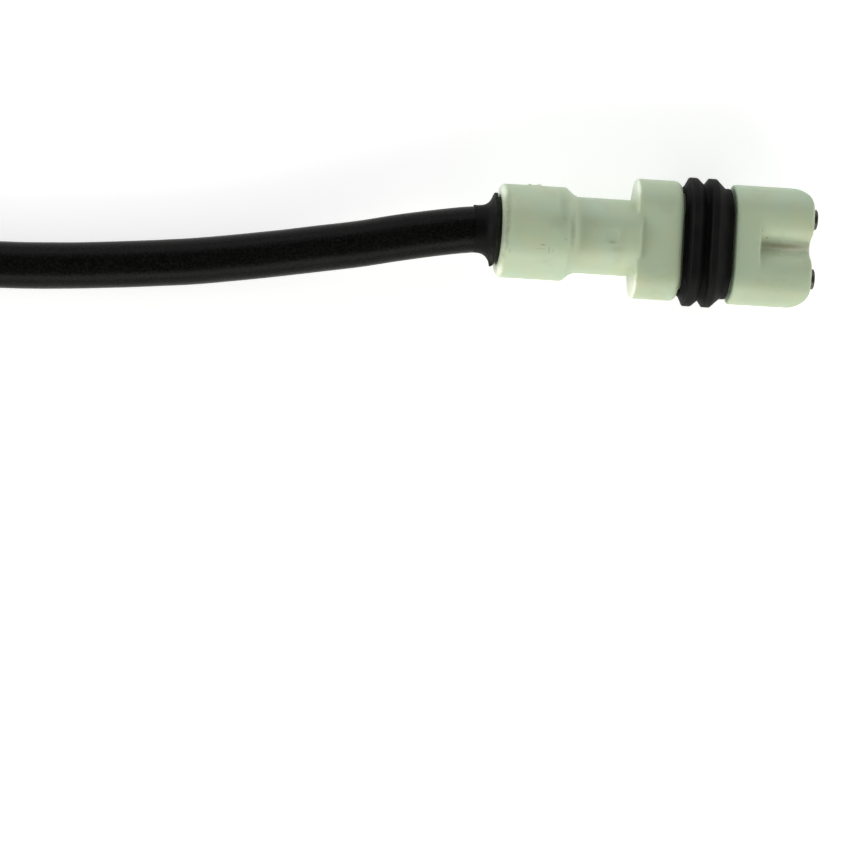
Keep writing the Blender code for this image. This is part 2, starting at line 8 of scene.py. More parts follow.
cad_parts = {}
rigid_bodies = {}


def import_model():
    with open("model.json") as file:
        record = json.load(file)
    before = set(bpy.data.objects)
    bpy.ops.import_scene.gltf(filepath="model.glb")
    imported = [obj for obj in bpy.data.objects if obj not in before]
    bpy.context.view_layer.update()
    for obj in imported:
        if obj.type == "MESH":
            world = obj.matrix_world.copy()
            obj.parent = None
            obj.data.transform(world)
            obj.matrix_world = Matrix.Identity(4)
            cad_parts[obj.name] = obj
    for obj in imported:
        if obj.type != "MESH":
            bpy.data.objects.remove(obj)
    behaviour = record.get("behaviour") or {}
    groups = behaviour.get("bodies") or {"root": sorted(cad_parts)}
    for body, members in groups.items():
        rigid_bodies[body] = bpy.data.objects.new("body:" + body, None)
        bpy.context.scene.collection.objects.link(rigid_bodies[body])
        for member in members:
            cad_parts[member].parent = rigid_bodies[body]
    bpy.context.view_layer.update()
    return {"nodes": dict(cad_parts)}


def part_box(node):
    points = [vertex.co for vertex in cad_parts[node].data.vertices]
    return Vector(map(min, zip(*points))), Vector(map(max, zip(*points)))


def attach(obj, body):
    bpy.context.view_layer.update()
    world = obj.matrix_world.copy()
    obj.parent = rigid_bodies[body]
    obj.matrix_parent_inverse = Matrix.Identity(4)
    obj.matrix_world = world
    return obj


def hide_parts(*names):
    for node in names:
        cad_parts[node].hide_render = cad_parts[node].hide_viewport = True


for startup_object in list(bpy.data.objects):
    bpy.data.objects.remove(startup_object, do_unlink=True)

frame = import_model()
solids = frame["nodes"]


# Sensor body
# The block that carries the wear loop: natural polyamide, moulded in one shot over the lead's end.
# Its tongue sits in a slot of the pad's backing plate, and its shoulder rests on the plate.
body_low, body_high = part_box("sensor_body")
head_rear_x = body_high.x
head_length = body_high.x - body_low.x
head_side = (body_low.y + body_high.y) / 2
head_height = (body_low.z + body_high.z) / 2
shoulder_half_width = (body_high.y - body_low.y) / 2
shoulder_half_height = (body_high.z - body_low.z) / 2
head_place = Matrix.Translation((head_rear_x, head_side, head_height)) @ Matrix.Rotation(math.pi, 4, "Z")
fit_gap = 0.0003
quarter_steps = 16
barrel_radius = 0.0049
barrel_length = 0.012
shoulder_length = 0.002
shoulder_corner = 0.0012
tongue_half_width = 0.004
tongue_half_height = 0.0026
tongue_corner = 0.001
tongue_tip_edge = 0.0012
tongue_x = barrel_length + shoulder_length
pocket_radius = 0.0039
pocket_depth = 0.01
leg_pitch = 0.0032
leg_radius = 0.00045
crimp_hole_radius = 0.00125
crimp_hole_depth = 0.0132
loop_slot_depth = 0.003
body_grain = 0.00017
body_softness = 7


def colour(code):
    """The linear colour of an sRGB hex code."""
    channels = [int(code[place : place + 2], 16) / 255 for place in (1, 3, 5)]
    linear = [value / 12.92 if value <= 0.04045 else ((value + 0.055) / 1.055) ** 2.4 for value in channels]
    return (*linear, 1.0)


def feed(node, inputs):
    """Sets a node's inputs. Each is a value, an output, or a node whose first open output feeds it."""
    for socket, value in dict(inputs).items():
        if isinstance(value, bpy.types.Node):
            value = next(output for output in value.outputs if output.enabled)
        if isinstance(value, bpy.types.NodeSocket):
            node.id_data.links.new(value, node.inputs[socket])
        else:
            node.inputs[socket].default_value = value


def add_node(tree, kind, inputs=(), **settings):
    """Adds a node with its own settings and feeds its inputs."""
    made = tree.nodes.new(kind)
    for name, value in settings.items():
        setattr(made, name, value)
    feed(made, inputs)
    return made


def shader_of(name, *grains, **values):
    """A material, its tree, its Principled shader with these values, the place that its patterns lie in,
    and a noise pattern for each grain, which is a size in metres and a detail."""
    material = bpy.data.materials.new(name)
    material.use_nodes = True
    tree = material.node_tree
    shader = tree.nodes["Principled BSDF"]
    feed(shader, {socket.replace("_", " "): value for socket, value in values.items()})
    place = add_node(tree, "ShaderNodeTexCoord").outputs["Object"]
    patterns = [
        add_node(tree, "ShaderNodeTexNoise", {"Vector": place, "Scale": 1 / size, "Detail": detail})
        for size, detail in grains
    ]
    return material, tree, shader, place, *patterns


def surfaced(shader, tint, rough, bump):
    """A shader's colour, roughness and bump, each from a pattern and the two values given with it."""
    tree = shader.id_data
    tones, low, high = tint
    mixed = add_node(tree, "ShaderNodeMix", {0: tones, 6: colour(low), 7: colour(high)}, data_type="RGBA")
    gloss, low, high = rough
    dulled = add_node(tree, "ShaderNodeMapRange", {"Value": gloss, "To Min": low, "To Max": high})
    relief, strength, depth = bump
    raised = add_node(tree, "ShaderNodeBump", {"Strength": strength, "Distance": depth, "Height": relief})
    feed(shader, {"Base Color": mixed, "Roughness": dulled, "Normal": raised})
    return mixed, raised


def section(x, half_width, half_height, corner=None):
    """A rectangle with round corners across the X axis. With no corner given its ends are half-round."""
    radius = half_height if corner is None else corner
    ring = []
    for quarter, (side, up) in enumerate(((1, -1), (1, 1), (-1, 1), (-1, -1))):
        for step in range(quarter_steps + 1):
            angle = math.radians(90 * (quarter - 1 + step / quarter_steps))
            y = side * (half_width - radius) + radius * math.cos(angle)
            z = up * (half_height - radius) + radius * math.sin(angle)
            ring.append(Vector((x, y, z)))
    return ring


def skin(name, rings, joined=False):
    """A closed mesh over rings of equal point counts. Its ends are capped, or joined to each other."""
    form = bmesh.new()
    rows = [[form.verts.new(point) for point in ring] for ring in rings]
    pairs = list(zip(rows, rows[1:]))
    if joined:
        pairs.append((rows[-1], rows[0]))
    else:
        form.faces.new(rows[0])
        form.faces.new(rows[-1])
    for row, following in pairs:
        for index, point in enumerate(row):
            beside = (index + 1) % len(row)
            form.faces.new((point, row[beside], following[beside], following[index]))
    bmesh.ops.remove_doubles(form, verts=form.verts, dist=1e-7)
    bmesh.ops.recalc_face_normals(form, faces=form.faces)
    mesh = bpy.data.meshes.new(name)
    form.to_mesh(mesh)
    form.free()
    return mesh


def turned(name, profile, sides, y=0.0, joined=False):
    """A profile of (x, radius) points turned about a line beside the X axis."""
    turns = [math.tau * step / sides for step in range(sides)]
    rings = [
        [Vector((x, y + radius * math.cos(turn), radius * math.sin(turn))) for turn in turns]
        for x, radius in profile
    ]
    return skin(name, rings, joined)


def plain_mesh(name, holder):
    """The mesh that the holder evaluates to, in place of the holder."""
    evaluated = holder.evaluated_get(bpy.context.evaluated_depsgraph_get())
    mesh = bpy.data.meshes.new_from_object(evaluated)
    mesh.name = name
    bpy.data.objects.remove(holder)
    return mesh


def placed(name, data):
    """A new object in the scene that holds this data."""
    holder = bpy.data.objects.new(name, data)
    bpy.context.collection.objects.link(holder)
    return holder


def moulded(name, masses, hollows, grain, softness):
    """One moulding: masses joined, hollows taken out, an even skin, and edges as soft as a mould's."""
    blocks = [placed(mesh.name, mesh) for mesh in (*masses, *hollows)]
    for index, block in enumerate(blocks[1:], start=1):
        boolean = blocks[0].modifiers.new(block.name, "BOOLEAN")
        boolean.operation = "UNION" if index < len(masses) else "DIFFERENCE"
        boolean.object = block
    remesh = blocks[0].modifiers.new("even_skin", "REMESH")
    remesh.mode = "VOXEL"
    remesh.voxel_size = grain
    smooth = blocks[0].modifiers.new("soft_edges", "SMOOTH")
    smooth.factor = 0.5
    smooth.iterations = softness
    mesh = plain_mesh(name, blocks[0])
    for block in blocks[1:]:
        bpy.data.objects.remove(block)
    mesh.shade_smooth()
    return mesh


def finished(name, mesh, place, material, slot, *replaced):
    """The piece in the row's frame, riding on the one body, with its look and the solids it replaces."""
    mesh.name = name
    mesh.transform(place)
    mesh.materials.clear()
    mesh.materials.append(material)
    piece = placed(name, mesh)
    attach(piece, "root")
    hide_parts(*replaced)
    return piece


def natural_polyamide(name, base, yellowed, joint_height):
    """Unfilled polyamide 66 from a spark-eroded mould: translucent, satin, cream with a green cast.

    The eye gets soft light through thin walls, faint clouds of yellow, and a fine dull grain.
    """
    # Spark grain is about 0.05 mm on the real mould and is drawn at 0.22 mm, so that it shows.
    grains = ((0.0042, 3.0), (0.0013, 4.0), (0.00022, 2.0), (0.0024, 2.0), (0.003, 1.0))
    scatter = {"Subsurface_Weight": 0.35, "Subsurface_Radius": (1.0, 1.15, 0.8), "Subsurface_Scale": 0.0011}
    made = shader_of(name, *grains, IOR=1.53, **scatter)
    material, tree, shader, place, clouds, gloss, spark_grain, stains, sinks = made
    cloudy = add_node(tree, "ShaderNodeMapRange", {"Value": clouds, "From Min": 0.36, "From Max": 0.68})
    relief = (spark_grain, 0.3, 0.00002)
    tint, fine = surfaced(shader, (cloudy, base, yellowed), (gloss, 0.34, 0.56), relief)
    range_of_stains = {"Value": stains, "From Min": 0.58, "From Max": 0.84, "To Max": 0.3}
    stained = add_node(tree, "ShaderNodeMapRange", range_of_stains)
    brown = add_node(tree, "ShaderNodeMix", {0: stained, 6: tint, 7: colour("#A69C83")}, data_type="RGBA")
    sunk = {"Strength": 0.5, "Distance": 0.00012, "Height": sinks, "Normal": fine}
    sink_bump = add_node(tree, "ShaderNodeBump", sunk)
    apart = add_node(tree, "ShaderNodeSeparateXYZ", {0: place}).outputs["Z"]
    above = add_node(tree, "ShaderNodeMath", {0: apart, 1: joint_height}, operation="SUBTRACT")
    away = add_node(tree, "ShaderNodeMath", {0: above}, operation="ABSOLUTE")
    near = {"Value": away, "From Min": 0.00004, "From Max": 0.00013, "To Min": 1.0, "To Max": 0.0}
    ridge = add_node(tree, "ShaderNodeMapRange", near)
    ridged = {"Strength": 0.7, "Distance": 0.00006, "Height": ridge, "Normal": sink_bump}
    feed(shader, {"Base Color": brown, "Normal": add_node(tree, "ShaderNodeBump", ridged)})
    return material


def build_sensor_body():
    rings = [section(x, barrel_radius, barrel_radius) for x in (0.0, barrel_length)]
    rings += [
        section(x, shoulder_half_width, shoulder_half_height, shoulder_corner)
        for x in (barrel_length, tongue_x)
    ]
    rings += [
        section(x, tongue_half_width - cut, tongue_half_height - cut / 2, tongue_corner)
        for x, cut in (
            (tongue_x, 0.0),
            (head_length - tongue_tip_edge, 0.0),
            (head_length - tongue_tip_edge / 3, tongue_tip_edge / 3),
            (head_length, tongue_tip_edge),
        )
    ]
    pocket = [(-barrel_length, 0.0), (-barrel_length, pocket_radius), (pocket_depth, pocket_radius)]
    hollows = [turned("pocket", [*pocket, (pocket_depth, 0.0)], 4 * quarter_steps)]
    for sign in (1, -1):
        hole = [
            (pocket_depth - fit_gap, 0.0),
            (pocket_depth - fit_gap, crimp_hole_radius),
            (crimp_hole_depth, crimp_hole_radius),
            (crimp_hole_depth, leg_radius + fit_gap),
            (2 * head_length, leg_radius + fit_gap),
            (2 * head_length, 0.0),
        ]
        hollows.append(turned("leg_hole", hole, 2 * quarter_steps, sign * leg_pitch / 2))
    slot_half_width = leg_pitch / 2 + leg_radius + fit_gap
    slot_ends = (head_length - loop_slot_depth, head_length + loop_slot_depth)
    slot_half_height = leg_radius + 1.3 * fit_gap
    hollows.append(skin("loop_slot", [section(x, slot_half_width, slot_half_height) for x in slot_ends]))
    mesh = moulded("sensor_body", [skin("sensor_body", rings)], hollows, body_grain, body_softness)
    material = natural_polyamide("sensor_body_polyamide_66", "#BFCFB8", "#C4CBAE", head_height)
    return finished("sensor_body_moulding", mesh, head_place, material, "housing_plastic", "sensor_body")


sensor_body = build_sensor_body()


# Wear loop
# The wire that the brake disc cuts when the pad is worn out: bare hard-drawn copper in one bend.
# Its two legs are pushed through the tongue from the tip and end in the crimps.
loop_low, loop_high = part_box("sensing_loop")
loop_bend_x = head_rear_x - loop_low.x - leg_radius - leg_pitch / 2
loop_leg_x = head_rear_x - loop_high.x
loop_turn_steps = 24
wire_sides = 24


def creased(mesh, degrees):
    """The mesh shaded smooth, but for edges sharper than this."""
    mesh.shade_smooth()
    mesh.set_sharp_from_angle(angle=math.radians(degrees))
    return mesh


def new_group(name, form, sizes):
    """A tree of geometry nodes that works on a form at these sizes, and the sockets that hand them in."""
    tree = bpy.data.node_groups.new(name, "GeometryNodeTree")
    for label, kind in {form: "Geometry", **sizes, "Material": "Material"}.items():
        tree.interface.new_socket(label, in_out="INPUT", socket_type=f"NodeSocket{kind}")
    tree.interface.new_socket("Made", in_out="OUTPUT", socket_type="NodeSocketGeometry")
    return tree, add_node(tree, "NodeGroupInput").outputs


def end_group(tree, geometry, material):
    """Makes what a tree built real, gives it its material and hands it out."""
    real = add_node(tree, "GeometryNodeRealizeInstances", {"Geometry": geometry})
    coated = add_node(tree, "GeometryNodeSetMaterial", {"Geometry": real, "Material": material})
    add_node(tree, "NodeGroupOutput", {0: coated})
    return tree


def sweep_tree():
    """A round rod along a curve, with how far along it each point is and its place round the rod."""
    sizes = {"Radius": "Float", "Sides": "Int", "Unevenness": "Float", "Lump Length": "Float"}
    tree, given = new_group("rod_along_path", "Path", sizes)
    outline = {"Resolution": given["Sides"], "Radius": given["Radius"]}
    circle = add_node(tree, "GeometryNodeCurvePrimitiveCircle", outline)
    round_it = add_node(tree, "GeometryNodeCaptureAttribute")
    round_it.capture_items.new("VECTOR", "Around")
    feed(round_it, {0: circle, 1: add_node(tree, "GeometryNodeInputPosition")})
    along_it = add_node(tree, "GeometryNodeCaptureAttribute")
    along_it.capture_items.new("FLOAT", "Along")
    length = add_node(tree, "GeometryNodeSplineParameter").outputs["Length"]
    feed(along_it, {0: given["Path"], 1: length})
    swept = {"Curve": along_it, "Profile Curve": round_it, "Fill Caps": True}
    rod = add_node(tree, "GeometryNodeCurveToMesh", swept)
    scale = add_node(tree, "ShaderNodeMath", {0: 1.0, 1: given["Lump Length"]}, operation="DIVIDE")
    lumps = add_node(tree, "ShaderNodeTexNoise", {"Scale": scale, "Detail": 1.0})
    inwards = {"Value": lumps, "From Min": 0.3, "From Max": 0.7, "To Min": -1.0, "To Max": 0.0}
    swing = add_node(tree, "ShaderNodeMapRange", inwards)
    push = add_node(tree, "ShaderNodeMath", {0: swing, 1: given["Unevenness"]}, operation="MULTIPLY")
    outward = add_node(tree, "GeometryNodeInputNormal")
    offset = add_node(tree, "ShaderNodeVectorMath", {0: outward, "Scale": push}, operation="SCALE")
    kept = add_node(tree, "GeometryNodeSetPosition", {"Geometry": rod, "Offset": offset})
    for name, value, kind in (("along", along_it, "FLOAT"), ("around", round_it, "FLOAT_VECTOR")):
        named = {"Geometry": kept, "Name": name}
        kept = add_node(tree, "GeometryNodeStoreNamedAttribute", named, data_type=kind)
        feed(kept, {"Value": value.outputs[1]})
    return end_group(tree, kept, given["Material"])


def made_by(tree, name, data, material, sizes):
    """The plain mesh that a tree of geometry nodes makes of this data at these sizes."""
    holder = placed(name, data)
    nodes = holder.modifiers.new(name, "NODES")
    nodes.node_group = tree
    sockets = {item.name: item.identifier for item in tree.interface.items_tree if item.in_out == "INPUT"}
    for size, value in {"Material": material, **sizes}.items():
        nodes[sockets[size]] = value
    holder.update_tag()
    return plain_mesh(name, holder)


def rod_along(name, path, material, sizes):
    """The plain mesh of a round rod along these points."""
    curve = bpy.data.curves.new(name, "CURVE")
    curve.dimensions = "3D"
    line = curve.splines.new("POLY")
    line.points.add(len(path) - 1)
    for point, place in zip(line.points, path):
        point.co = (*place, 1.0)
    return creased(made_by(rod_tree, name, curve, material, sizes), 50)


def bare_copper(name, across):
    """Hard-drawn copper, a month old: salmon with brown oxide clouds and die lines along the wire."""
    material, tree, shader, place, oxide = shader_of(name, (0.0011, 4.0), Metallic=1.0)
    stretch = add_node(tree, "ShaderNodeMapping", {"Vector": place, "Scale": (0.05, 1.0, 1.0)})
    lines = add_node(tree, "ShaderNodeTexNoise", {"Vector": stretch, "Scale": 1 / across, "Detail": 2.0})
    surfaced(shader, (oxide, "#D8926C", "#8E5B45"), (oxide, 0.18, 0.52), (lines, 0.4, across / 10))
    return material


rod_tree = sweep_tree()


def build_wear_loop():
    leg = leg_pitch / 2
    path = [Vector((x, leg, 0.0)) for x in (loop_leg_x, (loop_leg_x + loop_bend_x) / 2)]
    for step in range(loop_turn_steps + 1):
        angle = math.pi * (0.5 - step / loop_turn_steps)
        path.append(Vector((loop_bend_x + leg * math.cos(angle), leg * math.sin(angle), 0.0)))
    path += [Vector((point.x, -leg, 0.0)) for point in reversed(path[:2])]
    copper = bare_copper("hard_drawn_copper", 0.00016)
    sizes = {"Radius": leg_radius, "Sides": wire_sides, "Unevenness": 0.00001, "Lump Length": 0.002}
    mesh = rod_along("wear_loop", path, copper, sizes)
    return finished("wear_loop", mesh, head_place, copper, "copper", "sensing_loop")


wear_loop = build_wear_loop()


# Crimps, cores and conductors
# Drawn brass ferrules join the loop to the lead's two cores: stranded copper in brown insulation.
# They are potted out of sight at both ends of the lead, so the frame's own solids show them.
strand_lay = 0.0018


def crimp_brass():
    """Drawn brass tube, squeezed once: warm yellow with dull tool marks across the tube."""
    material, tree, shader, place, tarnish = shader_of("drawn_brass", (0.0009, 3.0), Metallic=1.0)
    bands = {"Vector": place, "Scale": 1 / 0.0052, "Distortion": 1.5, "Detail": 2.0}
    marks = add_node(tree, "ShaderNodeTexWave", bands, bands_direction="X").outputs["Fac"]
    surfaced(shader, (tarnish, "#D9BD78", "#9C8350"), (tarnish, 0.22, 0.48), (marks, 0.5, 0.00004))
    return material


def stranded_copper():
    """Tinned-free copper strands laid in a helix: painted highlights on the ridges and painted shade in the
    gaps, in bands that cross the wire.
    """
    material, tree, shader, place = shader_of("stranded_copper", Metallic=1.0)
    slant = add_node(tree, "ShaderNodeMapping", {"Vector": place, "Rotation": (0.0, 0.0, math.radians(35))})
    bands = {"Vector": slant, "Scale": 1 / (strand_lay * 4), "Detail": 0.0}
    wave = add_node(tree, "ShaderNodeTexWave", bands, bands_direction="X", wave_profile="SIN")
    strands = wave.outputs["Fac"]
    # Painted light and shade: the colour runs from a dark gap to a bright ridge across each strand.
    surfaced(shader, (strands, "#7A4630", "#DC9A74"), (strands, 0.5, 0.25), (strands, 0.8, 0.00008))
    return material


def extruded_insulation(name, base, worn):
    """Extruded cross-linked polyolefin: satin, with draw lines along the core and talc left in them."""
    material, tree, shader, place = shader_of(name, IOR=1.5)
    stretch = add_node(tree, "ShaderNodeMapping", {"Vector": place, "Scale": (0.08, 1.0, 1.0)})
    lines = add_node(tree, "ShaderNodeTexNoise", {"Vector": stretch, "Scale": 1 / 0.00035, "Detail": 3.0})
    surfaced(shader, (lines, base, worn), (lines, 0.36, 0.6), (lines, 0.4, 0.00003))
    return material


strands_material = stranded_copper()
brass_material = crimp_brass()
brown_core = extruded_insulation("brown_polyolefin", "#6A4029", "#83573B")
black_core = extruded_insulation("black_polyolefin", "#1D1D1E", "#303031")
for side, core_material in (("left", brown_core), ("right", black_core)):
    solids[f"loop_crimp_{side}"].material_slots[0].material = brass_material
    for end in ("head", "contact"):
        solids[f"{end}_conductor_{side}"].material_slots[0].material = strands_material
        solids[f"{end}_core_{side}"].material_slots[0].material = core_material


# Retaining clip
# A strip of spring steel bent round one edge of the tongue; its flared legs grip the backing plate.
# It is blanked and bent from rolled strip, so that its grain runs along the bend.
clip_thickness = 0.0004
clip_length = 0.0066
clip_bend = 0.0006
clip_flare = 0.001
clip_flare_length = 0.0022
clip_leg_overhang = 0.002
clip_stations = 12
clip_bend_steps = 8


def rolled_spring_steel():
    """Cold-rolled spring steel, oiled: cool grey with fine roll lines and a few darker oil clouds."""
    material, tree, shader, place, oil = shader_of("rolled_spring_steel", (0.0016, 4.0), Metallic=1.0)
    rolled = add_node(tree, "ShaderNodeMapping", {"Vector": place, "Scale": (1.0, 0.04, 0.04)})
    lines = add_node(tree, "ShaderNodeTexNoise", {"Vector": rolled, "Scale": 1 / 0.00012, "Detail": 3.0})
    surfaced(shader, (oil, "#C3C3BF", "#8F8E88"), (lines, 0.2, 0.42), (lines, 0.25, 0.00002))
    return material


def bent_strip(x, flare):
    """The clip's outline across the tongue: out along the outer face, back along the inner one."""
    strip = []
    for grown in (clip_thickness, 0.0):
        width = tongue_half_width + fit_gap + grown
        height = tongue_half_height + fit_gap + flare + grown
        bend = clip_bend + grown
        side = [(-clip_leg_overhang, height)]
        for step in range(clip_bend_steps + 1):
            angle = math.radians(90 * step / clip_bend_steps)
            side.append((width - bend + bend * math.sin(angle), height - bend + bend * math.cos(angle)))
        side += [(y, -z) for y, z in reversed(side)]
        strip += side if grown else reversed(side)
    return [Vector((x, y, z)) for y, z in strip]


def build_clip():
    rings = []
    for step in range(clip_stations + 1):
        along = clip_length * step / clip_stations
        opened = max(0.0, 1 - along / clip_flare_length)
        rings.append(bent_strip(tongue_x + fit_gap + along, clip_flare * opened**1.4))
    holder = placed("clip_strip", skin("clip_strip", rings))
    bevel = holder.modifiers.new("rolled_edges", "BEVEL")
    bevel.width = clip_thickness / 5
    bevel.segments = 2
    bevel.limit_method = "ANGLE"
    bevel.angle_limit = math.radians(50)
    mesh = creased(plain_mesh("clip_strip", holder), 40)
    steel = rolled_spring_steel()
    return finished("retaining_clip_strip", mesh, head_place, steel, "spring_steel", "retaining_clip")


clip = build_clip()


# Strain relief
# A tapered sleeve of black thermoplastic elastomer, pushed over the lead and into the sensor body.
# Three grooves round it let it bend with the lead.
relief_low, relief_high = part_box("head_strain_relief")
relief_front_radius = (relief_high.z - relief_low.z) / 2
relief_length = relief_high.x - head_rear_x
relief_depth = head_rear_x - relief_low.x
relief_rear_radius = 0.0035
relief_inner_radius = 0.0031
relief_wall = 0.0005
relief_face_edge = 0.0004
bore_margin = 0.00005
relief_sides = 72
relief_steps = 96
groove_sizes = {
    "Start": -relief_length + 0.0021,
    "Pitch": 0.0032,
    "Width": 0.0017,
    "Edge": 0.0005,
    "Depth": 0.0004,
    "Grooves": 3.0,
}


def groove_tree():
    """Presses even grooves round a sleeve that lies along the X axis."""
    sizes = {name: "Float" for name in (*groove_sizes, "Inner Radius")}
    tree, given = new_group("grooves_round_sleeve", "Sleeve", sizes)
    place = add_node(tree, "GeometryNodeInputPosition")
    along = add_node(tree, "ShaderNodeSeparateXYZ", {0: place})
    past = add_node(tree, "ShaderNodeMath", {0: along, 1: given["Start"]}, operation="SUBTRACT")
    turn = add_node(tree, "ShaderNodeMath", {0: past, 1: given["Pitch"]}, operation="DIVIDE")
    share = add_node(tree, "ShaderNodeMath", {0: turn}, operation="FRACT")
    within = add_node(tree, "ShaderNodeMath", {0: share, 1: given["Pitch"]}, operation="MULTIPLY")
    far_edge = add_node(tree, "ShaderNodeMath", {0: given["Width"], 1: given["Edge"]}, operation="SUBTRACT")
    first = {"Value": within, "From Max": given["Edge"]}
    into = add_node(tree, "ShaderNodeMapRange", first, interpolation_type="SMOOTHSTEP")
    last = {"Value": within, "From Min": far_edge, "From Max": given["Width"]}
    out = add_node(tree, "ShaderNodeMapRange", last, interpolation_type="SMOOTHSTEP")
    pressed = add_node(tree, "ShaderNodeMath", {0: into, 1: out}, operation="SUBTRACT")
    begun = add_node(tree, "ShaderNodeMath", {0: turn, 1: 0.0}, operation="GREATER_THAN")
    ended = add_node(tree, "ShaderNodeMath", {0: turn, 1: given["Grooves"]}, operation="LESS_THAN")
    counted = add_node(tree, "ShaderNodeMath", {0: begun, 1: ended}, operation="MULTIPLY")
    radial = add_node(tree, "ShaderNodeVectorMath", {0: place, 1: (0.0, 1.0, 1.0)}, operation="MULTIPLY")
    radius = add_node(tree, "ShaderNodeVectorMath", {0: radial}, operation="LENGTH")
    inner = given["Inner Radius"]
    outer = add_node(tree, "ShaderNodeMath", {0: radius, 1: inner}, operation="GREATER_THAN")
    amount = add_node(tree, "ShaderNodeMath", {0: pressed, 1: counted}, operation="MULTIPLY")
    depth = add_node(tree, "ShaderNodeMath", {0: given["Depth"], 1: -1.0}, operation="MULTIPLY")
    press = add_node(tree, "ShaderNodeMath", {0: amount, 1: depth}, operation="MULTIPLY")
    inward = add_node(tree, "ShaderNodeVectorMath", {0: radial}, operation="NORMALIZE")
    offset = add_node(tree, "ShaderNodeVectorMath", {0: inward, "Scale": press}, operation="SCALE")
    moved = {"Geometry": given["Sleeve"], "Selection": outer, "Offset": offset}
    return end_group(tree, add_node(tree, "GeometryNodeSetPosition", moved), given["Material"])


def moulded_rubber(name, base, dust, roughness, grain_size):
    """Black carbon-filled rubber from a polished mould: satin, with grey bloom and dust in its hollows."""
    grains = ((0.0028, 4.0), (grain_size, 3.0))
    made = shader_of(name, *grains, IOR=1.5, Specular_IOR_Level=0.1)
    material, tree, shader, _, bloom, grain = made
    bloomed = add_node(tree, "ShaderNodeMapRange", {"Value": bloom, "From Min": 0.4, "From Max": 0.75})
    rough = (bloom, roughness - 0.08, roughness + 0.12)
    surfaced(shader, (bloomed, base, dust), rough, (grain, 0.35, grain_size / 8))
    return material


def build_strain_relief():
    slope = (relief_front_radius - relief_rear_radius) / (relief_length - fit_gap)
    skin_start = -relief_length + relief_face_edge
    skin_length = -fit_gap - relief_face_edge - skin_start
    profile = [(-relief_length, relief_inner_radius)]
    profile.append((-relief_length, relief_rear_radius - relief_face_edge / 2))
    for step in range(relief_steps + 1):
        x = skin_start + skin_length * step / relief_steps
        profile.append((x, relief_rear_radius + slope * (x + relief_length)))
    profile += [
        (-fit_gap, relief_front_radius - relief_face_edge),
        (-fit_gap, relief_inner_radius + relief_wall),
        (relief_depth, relief_inner_radius + relief_wall),
        (relief_depth, relief_inner_radius),
    ]
    sleeve = turned("sleeve", profile, relief_sides, joined=True)
    rubber = moulded_rubber("black_sleeve_elastomer", "#111112", "#1F1F1E", 0.55, 0.00018)
    sizes = {**groove_sizes, "Inner Radius": relief_inner_radius + bore_margin}
    mesh = creased(made_by(groove_tree(), "sleeve", sleeve, rubber, sizes), 50)
    return finished("strain_relief_sleeve", mesh, head_place, rubber, "sleeve_rubber", "head_strain_relief")


strain_relief = build_strain_relief()


# Lead
# Two cores in one extruded polyurethane sheath, 5.6 mm across, satin black, lying on the surface.
# The route's points are the CAD part's, in metres: back from the plug, side, share of the lift kept.
plug_low, plug_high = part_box("connector_housing")
rear_face_x = plug_low.x
boot_radius = (plug_high.z - plug_low.z) / 2
axis_height = plug_low.z + boot_radius
cable_radius = 0.0028
cable_in_plug = 0.0075
cable_in_head = 0.0035
path_steps = 24
path_spacing = 0.0012
cable_sides = 56
nick_place = Vector((-0.0732, -0.0041, 0.0056))
nick_radius = 0.00035
nick_steepness = 0.4
route_from_plug = (
    (-0.0035, 0.0, 1.0),
    (0.0, 0.0, 1.0),
    (0.0030, -0.0001, 0.99),
    (0.0070, -0.0007, 0.95),
    (0.0117, -0.0016, 0.84),
    (0.0164, -0.0026, 0.68),
    (0.0212, -0.00345, 0.50),
    (0.0260, -0.0043, 0.33),
    (0.0307, -0.00505, 0.19),
    (0.0355, -0.00575, 0.09),
    (0.0403, -0.0063, 0.03),
    (0.0450, -0.00675, 0.0),
    (0.0498, -0.00715, 0.0),
    (0.0546, -0.00745, 0.0),
    (0.0594, -0.00762, 0.0),
    (0.0720, -0.0078, 0.0),
    (0.0880, -0.0074, 0.0),
    (0.1040, -0.0065, 0.0),
    (0.1220, -0.0053, 0.0),
    (0.1400, -0.0042, 0.0),
)
route_to_head = (
    (0.0430, -0.0004, 0.0),
    (0.0360, -0.0001, 0.04),
    (0.0300, 0.0, 0.22),
    (0.0240, 0.0, 0.70),
    (0.0190, 0.0, 0.97),
    (0.0140, 0.0, 1.0),
    (0.0, 0.0, 1.0),
)


def smooth_path(route, spacing):
    """Points at this spacing or a little less on a smooth curve through the route."""
    ends = [2 * route[0] - route[1], *route, 2 * route[-1] - route[-2]]
    fine = [route[0]]
    for before, start, after_start, after in zip(ends, ends[1:], ends[2:], ends[3:]):
        for step in range(1, path_steps + 1):
            t = step / path_steps
            straight = 2 * start + (after_start - before) * t
            bent = (2 * before - 5 * start + 4 * after_start - after) * t**2
            fine.append(0.5 * (straight + bent + (3 * start - before - 3 * after_start + after) * t**3))
    lengths = [0.0]
    for one, other in zip(fine, fine[1:]):
        lengths.append(lengths[-1] + (other - one).length)
    count = math.ceil(lengths[-1] / spacing)
    path = []
    for step in range(count + 1):
        wanted = lengths[-1] * step / count
        index = next(i for i in range(1, len(fine)) if lengths[i] >= wanted - 1e-12)
        share = (wanted - lengths[index - 1]) / (lengths[index] - lengths[index - 1])
        path.append(fine[index - 1].lerp(fine[index], share))
    return path


